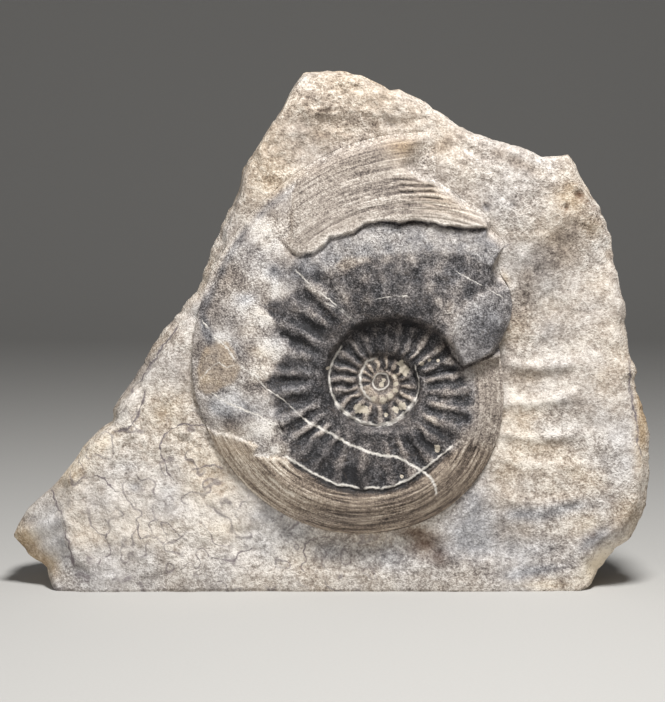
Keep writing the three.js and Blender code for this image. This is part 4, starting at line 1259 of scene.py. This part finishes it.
def soft_lines(x, z, lines, wander):
    """Add up soft lines, each with a half width, a strength and its points."""
    total = np.zeros(x.shape)
    for half, strength, points in lines:
        side, past = distance_along(x, z, points)
        total = total + strength * fade(side + wander, half) * (1 - ease(0, 1.5, past))
    return total


def groove_depth_and_painted_shade(x, z):
    """How dark the painted shade in the grooves is at each place; a groove is about as deep in millimetres.
    """
    return soft_lines(x, z, GROOVES_WITH_PAINTED_SHADE, 0.3 * crumble(x, z, 4, 2, 103))


def crest_grit_and_highlight(x, z):
    """How pale the crests of the cast ribs are at each place, uneven along their length: pale grit with
    painted light on their tops.
    """
    return soft_lines(x, z, CAST_CREST_GRIT_AND_HIGHLIGHTS, 0.9 * crumble(x, z, 7, 3, 113)) * (0.85 + 0.5 * grain(x, z, 6, 115))


def blotches(x, z):
    """Uneven patches drawn out along the lean of the ribs."""
    bend = 2.2 * grain(x, z, 7, 101)
    return crumble(x + bend, (z - bend) * 0.8, 7, 4, 85)


def lip_edge_and_painted_shadow(x, z):
    """The upper band's lip: painted shadow in the trench below it, and pale along its edge."""
    lip = band_lip(x, z)
    shade = (0.18 + 0.26 * ease(8, 26, x)) * fade(lip + 0.7, 0.5)
    return (0.2 * fade(lip - 0.8, 0.75) - shade) * ease(-16, -8, x) * (z < 150)


def border_tone(x, z):
    """The pale broken edge of the lower shell at its left."""
    border = fade(depth_inside(x, z, CRESCENT) - 0.2, 1.0)
    return 0.14 * border * (1 - ease(-22, -14, x)) * (z > 50)


def fossil_tones(x, z):
    """How pale and how warm the fossil is at each place."""
    angle, radius = to_polar(x, z)
    along, flank, _ = whorl_place(angle, radius)
    # Painted light and shade of the ribs on the pale left flank: crests paler, gaps darker.
    painted_rib_light_and_shade = (0.09 + 0.07 * grain(x, z, 8, 111)) * rib_wave(along, flank, x, z) * (1 - ease(-24, -10, x))
    tone = FOSSIL_TONE + 0.16 * blotches(x, z) + painted_rib_light_and_shade
    warmth = FOSSIL_WARMTH + 0.16 * crumble(x, z, 12, 3, 87)
    for outline, soft, uneven, zone_tone, zone_warmth in zone_layers(x, z, angle, radius):
        share = ease(-soft, soft, depth_inside(x, z, outline) + uneven)
        tone = tone + (zone_tone - tone) * share
        warmth = warmth + (zone_warmth - warmth) * share
    more_tone, more_warmth = sum_spots(x, z, FOSSIL_SPOTS)
    # Painted shadow in the lip's trench and painted shade in the grooves darken the tone.
    tone = tone + more_tone + lip_edge_and_painted_shadow(x, z) + border_tone(x, z) - groove_depth_and_painted_shade(x, z)
    warmth = warmth + more_warmth
    slab_tone, slab_warmth = slab_tones(x, face_y(z, 0), z)
    sunk = edge_sink(angle, radius, x, z)
    return tone + (slab_tone - tone) * sunk, warmth + (slab_warmth - warmth) * sunk


def mark_fossil(piece):
    """Store what the fossil's material needs to know about each place on it."""
    x, _, z = corners_of(piece)
    tone, warmth = fossil_tones(x, z)
    store(piece, "tone", tone)
    store(piece, "warmth", np.clip(warmth, 0, 1))
    heart_x, heart_z, heart_radius = NUCLEUS
    from_ring = np.hypot(x - heart_x, z - heart_z) - heart_radius
    store(piece, "nucleus", from_ring + 0.35 * grain(x, z, 1.8, 109))
    chalky = [1 - np.hypot(x - cx, z - cz) / size for cx, cz, size in CHALK_SPOTS]
    store(piece, "chalk", np.max(chalky, axis=0))
    across, run, shown = shell_lines(x, z)
    store_three(piece, "shell_lines", across, run, shown)
    store(piece, "seams", 1 - np.minimum(shown, 1))
    calm = 0.35 * ease(-0.2, 0.5, grain(x, z, 14, 99)) + 0.4 * ease(-1, 1, depth_inside(x, z, BROWN_PATCH))
    store(piece, "grain", 1.3 - calm - 0.4 * np.minimum(shown, 1))
    for name, (_, points) in VEINS.items():
        store_line(piece, name, points)


def mark_slab(piece):
    """Store where the slab is pale, warm, rusty or seamed."""
    x, y, z = corners_of(piece)
    tone, warmth = slab_tones(x, y, z)
    front = 1 - ease(2.5, 7, y - face_y(z, 0))
    rust = np.zeros(x.shape)
    for cx, cz, wide, high, amount in RUST_SPOTS:
        rust += amount * fade(x - cx, wide) * fade(z - cz, high)
    store(piece, "tone", tone)
    store(piece, "warmth", np.clip(warmth, 0, 1))
    store(piece, "rust", rust * front)
    calm = 0.4 * ease(-0.2, 0.5, grain(x, z, 16, 97)) + 0.15 * (1 - ease(-20, 30, x)) * (1 - ease(40, 80, z))
    store(piece, "grain", 1.25 - calm)
    store(piece, "seams", (1 - ease(5, 40, x)) * (1 - ease(60, 85, z)) * front)
    for name, (_, points) in CLAY_SEAMS.items():
        store_line(piece, name, points)


def colour_property(name, description, code):
    """A colour setting whose default is an sRGB hex colour."""
    return bpy.props.FloatVectorProperty(
        name=name, description=description, size=4, subtype="COLOR", min=0.0, max=1.0, default=linear(code)
    )


def size_property(name, description, size):
    """A setting for a size, in metres."""
    return bpy.props.FloatProperty(
        name=name, description=description, default=size, min=0.1 * MM, precision=5, unit="LENGTH"
    )


class FossilPalette(bpy.types.PropertyGroup):
    """The stone's colours, from dark to pale, where it is grey and where it is ochre."""

    grey_dark: colour_property("Grey, dark", "Calcite in the deepest hollows", "#262527")
    grey_middle: colour_property("Grey, middle", "Calcite between the ribs", "#666466")
    grey_pale: colour_property("Grey, pale", "Bluish grey limestone", "#a6a4a5")
    grey_chalk: colour_property("Grey, chalk", "Palest grey limestone", "#e6e4e4")
    ochre_dark: colour_property("Ochre, dark", "Brown grooves of the shell", "#33271c")
    ochre_middle: colour_property("Ochre, middle", "Brown shell", "#786450")
    ochre_pale: colour_property("Ochre, pale", "Weathered limestone", "#bda587")
    ochre_chalk: colour_property("Ochre, chalk", "Palest cream limestone", "#f6e6cc")


class FossilSlabSettings(bpy.types.PropertyGroup):
    """The slab's own size and colours."""

    pock_size: size_property("Pocks", "Distance between the pen's marks", 1.5 * MM)
    rust_colour: colour_property("Rust", "Iron stains", "#5f4331")
    seam_colour: colour_property("Clay seams", "Purplish grey clay in the seams", "#7e7576")


class FossilCoilSettings(bpy.types.PropertyGroup):
    """The ammonite's own size and colours."""

    growth_pitch: size_property("Growth lines", "Distance between the shell's growth lines", 1.35 * MM)
    vein_colour: colour_property("Veins", "White calcite", "#e9e3da")
    crack_colour: colour_property("Cracks", "Hairline cracks between the patches of stone", "#4c443e")
    chalk_colour: colour_property("Chalk", "Cream chalk in the inner whorls", "#cbc0ae")


class FossilStageSettings(bpy.types.PropertyGroup):
    """The floor, the lights and the camera."""

    floor_colour: colour_property("Floor", "Studio paper", "#b9b7b3")
    fibre_colour: colour_property("Fibre", "Paler fibres in the paper", "#bfbdb9")
    key_power: bpy.props.FloatProperty(
        name="Key light", description="Power of the overhead light", default=9.9, min=0.0, unit="POWER"
    )
    camera_distance: bpy.props.FloatProperty(
        name="Camera distance", description="From the slab's face", default=0.9, unit="LENGTH"
    )
    camera_pitch: bpy.props.FloatProperty(
        name="Camera pitch", description="How far the camera looks down",
        default=math.radians(5), subtype="ANGLE",
    )


class FOSSIL_OT_add_slab(bpy.types.Operator):
    """Add the limestone slab with the fossil's seat, the broken rim and the cast of the missing whorl"""

    bl_idname = "fossil.add_slab"
    bl_label = "Add Limestone Slab"

    def execute(self, context):
        scene = context.scene
        stone = limestone(scene.fossil_palette, scene.fossil_slab)
        piece = wrap_grid("limestone_slab", slab_places(), stone)
        mark_slab(piece)
        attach(piece, "root")
        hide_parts("matrix")
        return {"FINISHED"}


class FOSSIL_OT_add_ammonite(bpy.types.Operator):
    """Add the ammonite with its coil, ribs, shell and veins"""

    bl_idname = "fossil.add_ammonite"
    bl_label = "Add Ammonite"

    def execute(self, context):
        scene = context.scene
        stone = fossil_stone(scene.fossil_palette, scene.fossil_coil)
        piece = wrap_grid("ammonite_fossil", fossil_places(), stone)
        mark_fossil(piece)
        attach(piece, "root")
        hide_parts("ammonite")
        return {"FINISHED"}


class FOSSIL_OT_add_stage(bpy.types.Operator):
    """Add the pale floor, the soft studio lights and the camera"""

    bl_idname = "fossil.add_stage"
    bl_label = "Add Stage"

    def execute(self, context):
        settings = context.scene.fossil_stage
        add_floor(settings)
        add_lights(settings)
        add_camera(settings)
        return {"FINISHED"}


def add_floor(settings):
    """A sheet of paper that curves up behind the slab."""
    sheet = bmesh.new()
    turns = [math.radians(90 * k / FLOOR_BEND_STEPS) for k in range(FLOOR_BEND_STEPS + 1)]
    bend = [(FLOOR_BEND_Y + FLOOR_BEND * math.sin(t), FLOOR_BEND * (1 - math.cos(t))) for t in turns]
    line = [(-FLOOR_HALF, 0), *bend, (FLOOR_BEND_Y + FLOOR_BEND, FLOOR_TOP)]
    profile = [sheet.verts.new((-FLOOR_HALF, y, z)) for y, z in line]
    edges = [sheet.edges.new(pair) for pair in zip(profile, profile[1:])]
    moved = bmesh.ops.extrude_edge_only(sheet, edges=edges)["geom"]
    far = [part for part in moved if isinstance(part, bmesh.types.BMVert)]
    bmesh.ops.translate(sheet, verts=far, vec=(2 * FLOOR_HALF, 0, 0))
    for face in sheet.faces:
        face.smooth = True
    bmesh.ops.recalc_face_normals(sheet, faces=sheet.faces)
    mesh = bpy.data.meshes.new("floor")
    sheet.to_mesh(mesh)
    sheet.free()
    floor = bpy.data.objects.new("floor", mesh)
    bpy.context.scene.collection.objects.link(floor)
    mesh.materials.append(paper(settings))


def add_light(name, place, aim, size, power):
    """Add one round soft light, turned towards its aim."""
    data = bpy.data.lights.new(name, "AREA")
    data.shape = "DISK"
    data.size = size
    data.energy = power
    light = bpy.data.objects.new(name, data)
    bpy.context.scene.collection.objects.link(light)
    light.location = place
    toward = Vector(aim) - Vector(place)
    light.rotation_euler = toward.to_track_quat("-Z", "Y").to_euler()


def add_lights(settings):
    """Add the overhead light, a weak fill from the left and the studio's dim surroundings."""
    add_light("key", KEY_PLACE, KEY_AIM, KEY_SIZE, settings.key_power)
    add_light("fill", FILL_PLACE, FILL_AIM, FILL_SIZE, settings.key_power * FILL_SHARE)
    world = bpy.data.worlds.new("studio")
    bpy.context.scene.world = world
    world.use_nodes = True
    background = world.node_tree.nodes["Background"]
    background.inputs["Color"].default_value = linear(STUDIO_COLOUR)
    background.inputs["Strength"].default_value = STUDIO_STRENGTH


def add_camera(settings):
    """The photograph's view, with the slab's face as large as it is there."""
    aim_x, aim_y, aim_z = Vector(CAMERA_AIM) * MM
    data = bpy.data.cameras.new("camera")
    data.sensor_fit = "HORIZONTAL"
    data.sensor_width = SENSOR_WIDTH
    data.lens = SENSOR_WIDTH * settings.camera_distance / (PICTURE_WIDTH * PICTURE_SCALE * MM)
    camera = bpy.data.objects.new("camera", data)
    bpy.context.scene.collection.objects.link(camera)
    pitch = settings.camera_pitch
    away = settings.camera_distance
    camera.location = (aim_x, aim_y - away * math.cos(pitch), aim_z + away * math.sin(pitch))
    camera.rotation_euler = (math.radians(90) - pitch, 0, 0)
    bpy.context.scene.camera = camera
    bpy.context.scene.view_settings.view_transform = "Standard"


class FOSSIL_PT_panel(bpy.types.Panel):
    """Lists the pieces of the fossil slab and their settings."""

    bl_label = "Fossil"
    bl_idname = "FOSSIL_PT_panel"
    bl_space_type = "VIEW_3D"
    bl_region_type = "UI"
    bl_category = "Fossil"

    def draw(self, context):
        layout = self.layout
        scene = context.scene
        for name in FossilPalette.__annotations__:
            layout.prop(scene.fossil_palette, name)
        for operator, settings in (
            (FOSSIL_OT_add_slab, scene.fossil_slab),
            (FOSSIL_OT_add_ammonite, scene.fossil_coil),
            (FOSSIL_OT_add_stage, scene.fossil_stage),
        ):
            box = layout.box()
            box.operator(operator.bl_idname)
            for name in type(settings).__annotations__:
                box.prop(settings, name)


CLASSES = (
    FossilPalette, FossilSlabSettings, FossilCoilSettings, FossilStageSettings,
    FOSSIL_OT_add_slab, FOSSIL_OT_add_ammonite, FOSSIL_OT_add_stage, FOSSIL_PT_panel,
)


def register():
    """Register the add-on's classes and its settings."""
    for cls in CLASSES:
        bpy.utils.register_class(cls)
    bpy.types.Scene.fossil_palette = bpy.props.PointerProperty(type=FossilPalette)
    bpy.types.Scene.fossil_slab = bpy.props.PointerProperty(type=FossilSlabSettings)
    bpy.types.Scene.fossil_coil = bpy.props.PointerProperty(type=FossilCoilSettings)
    bpy.types.Scene.fossil_stage = bpy.props.PointerProperty(type=FossilStageSettings)


def unregister():
    """Take the settings and the classes away again."""
    del bpy.types.Scene.fossil_palette
    del bpy.types.Scene.fossil_slab
    del bpy.types.Scene.fossil_coil
    del bpy.types.Scene.fossil_stage
    for cls in reversed(CLASSES):
        bpy.utils.unregister_class(cls)


def main():
    """Build the slab, the ammonite and the stage."""
    register()
    bpy.ops.fossil.add_slab()
    bpy.ops.fossil.add_ammonite()
    bpy.ops.fossil.add_stage()


if __name__ == "__main__":
    main()
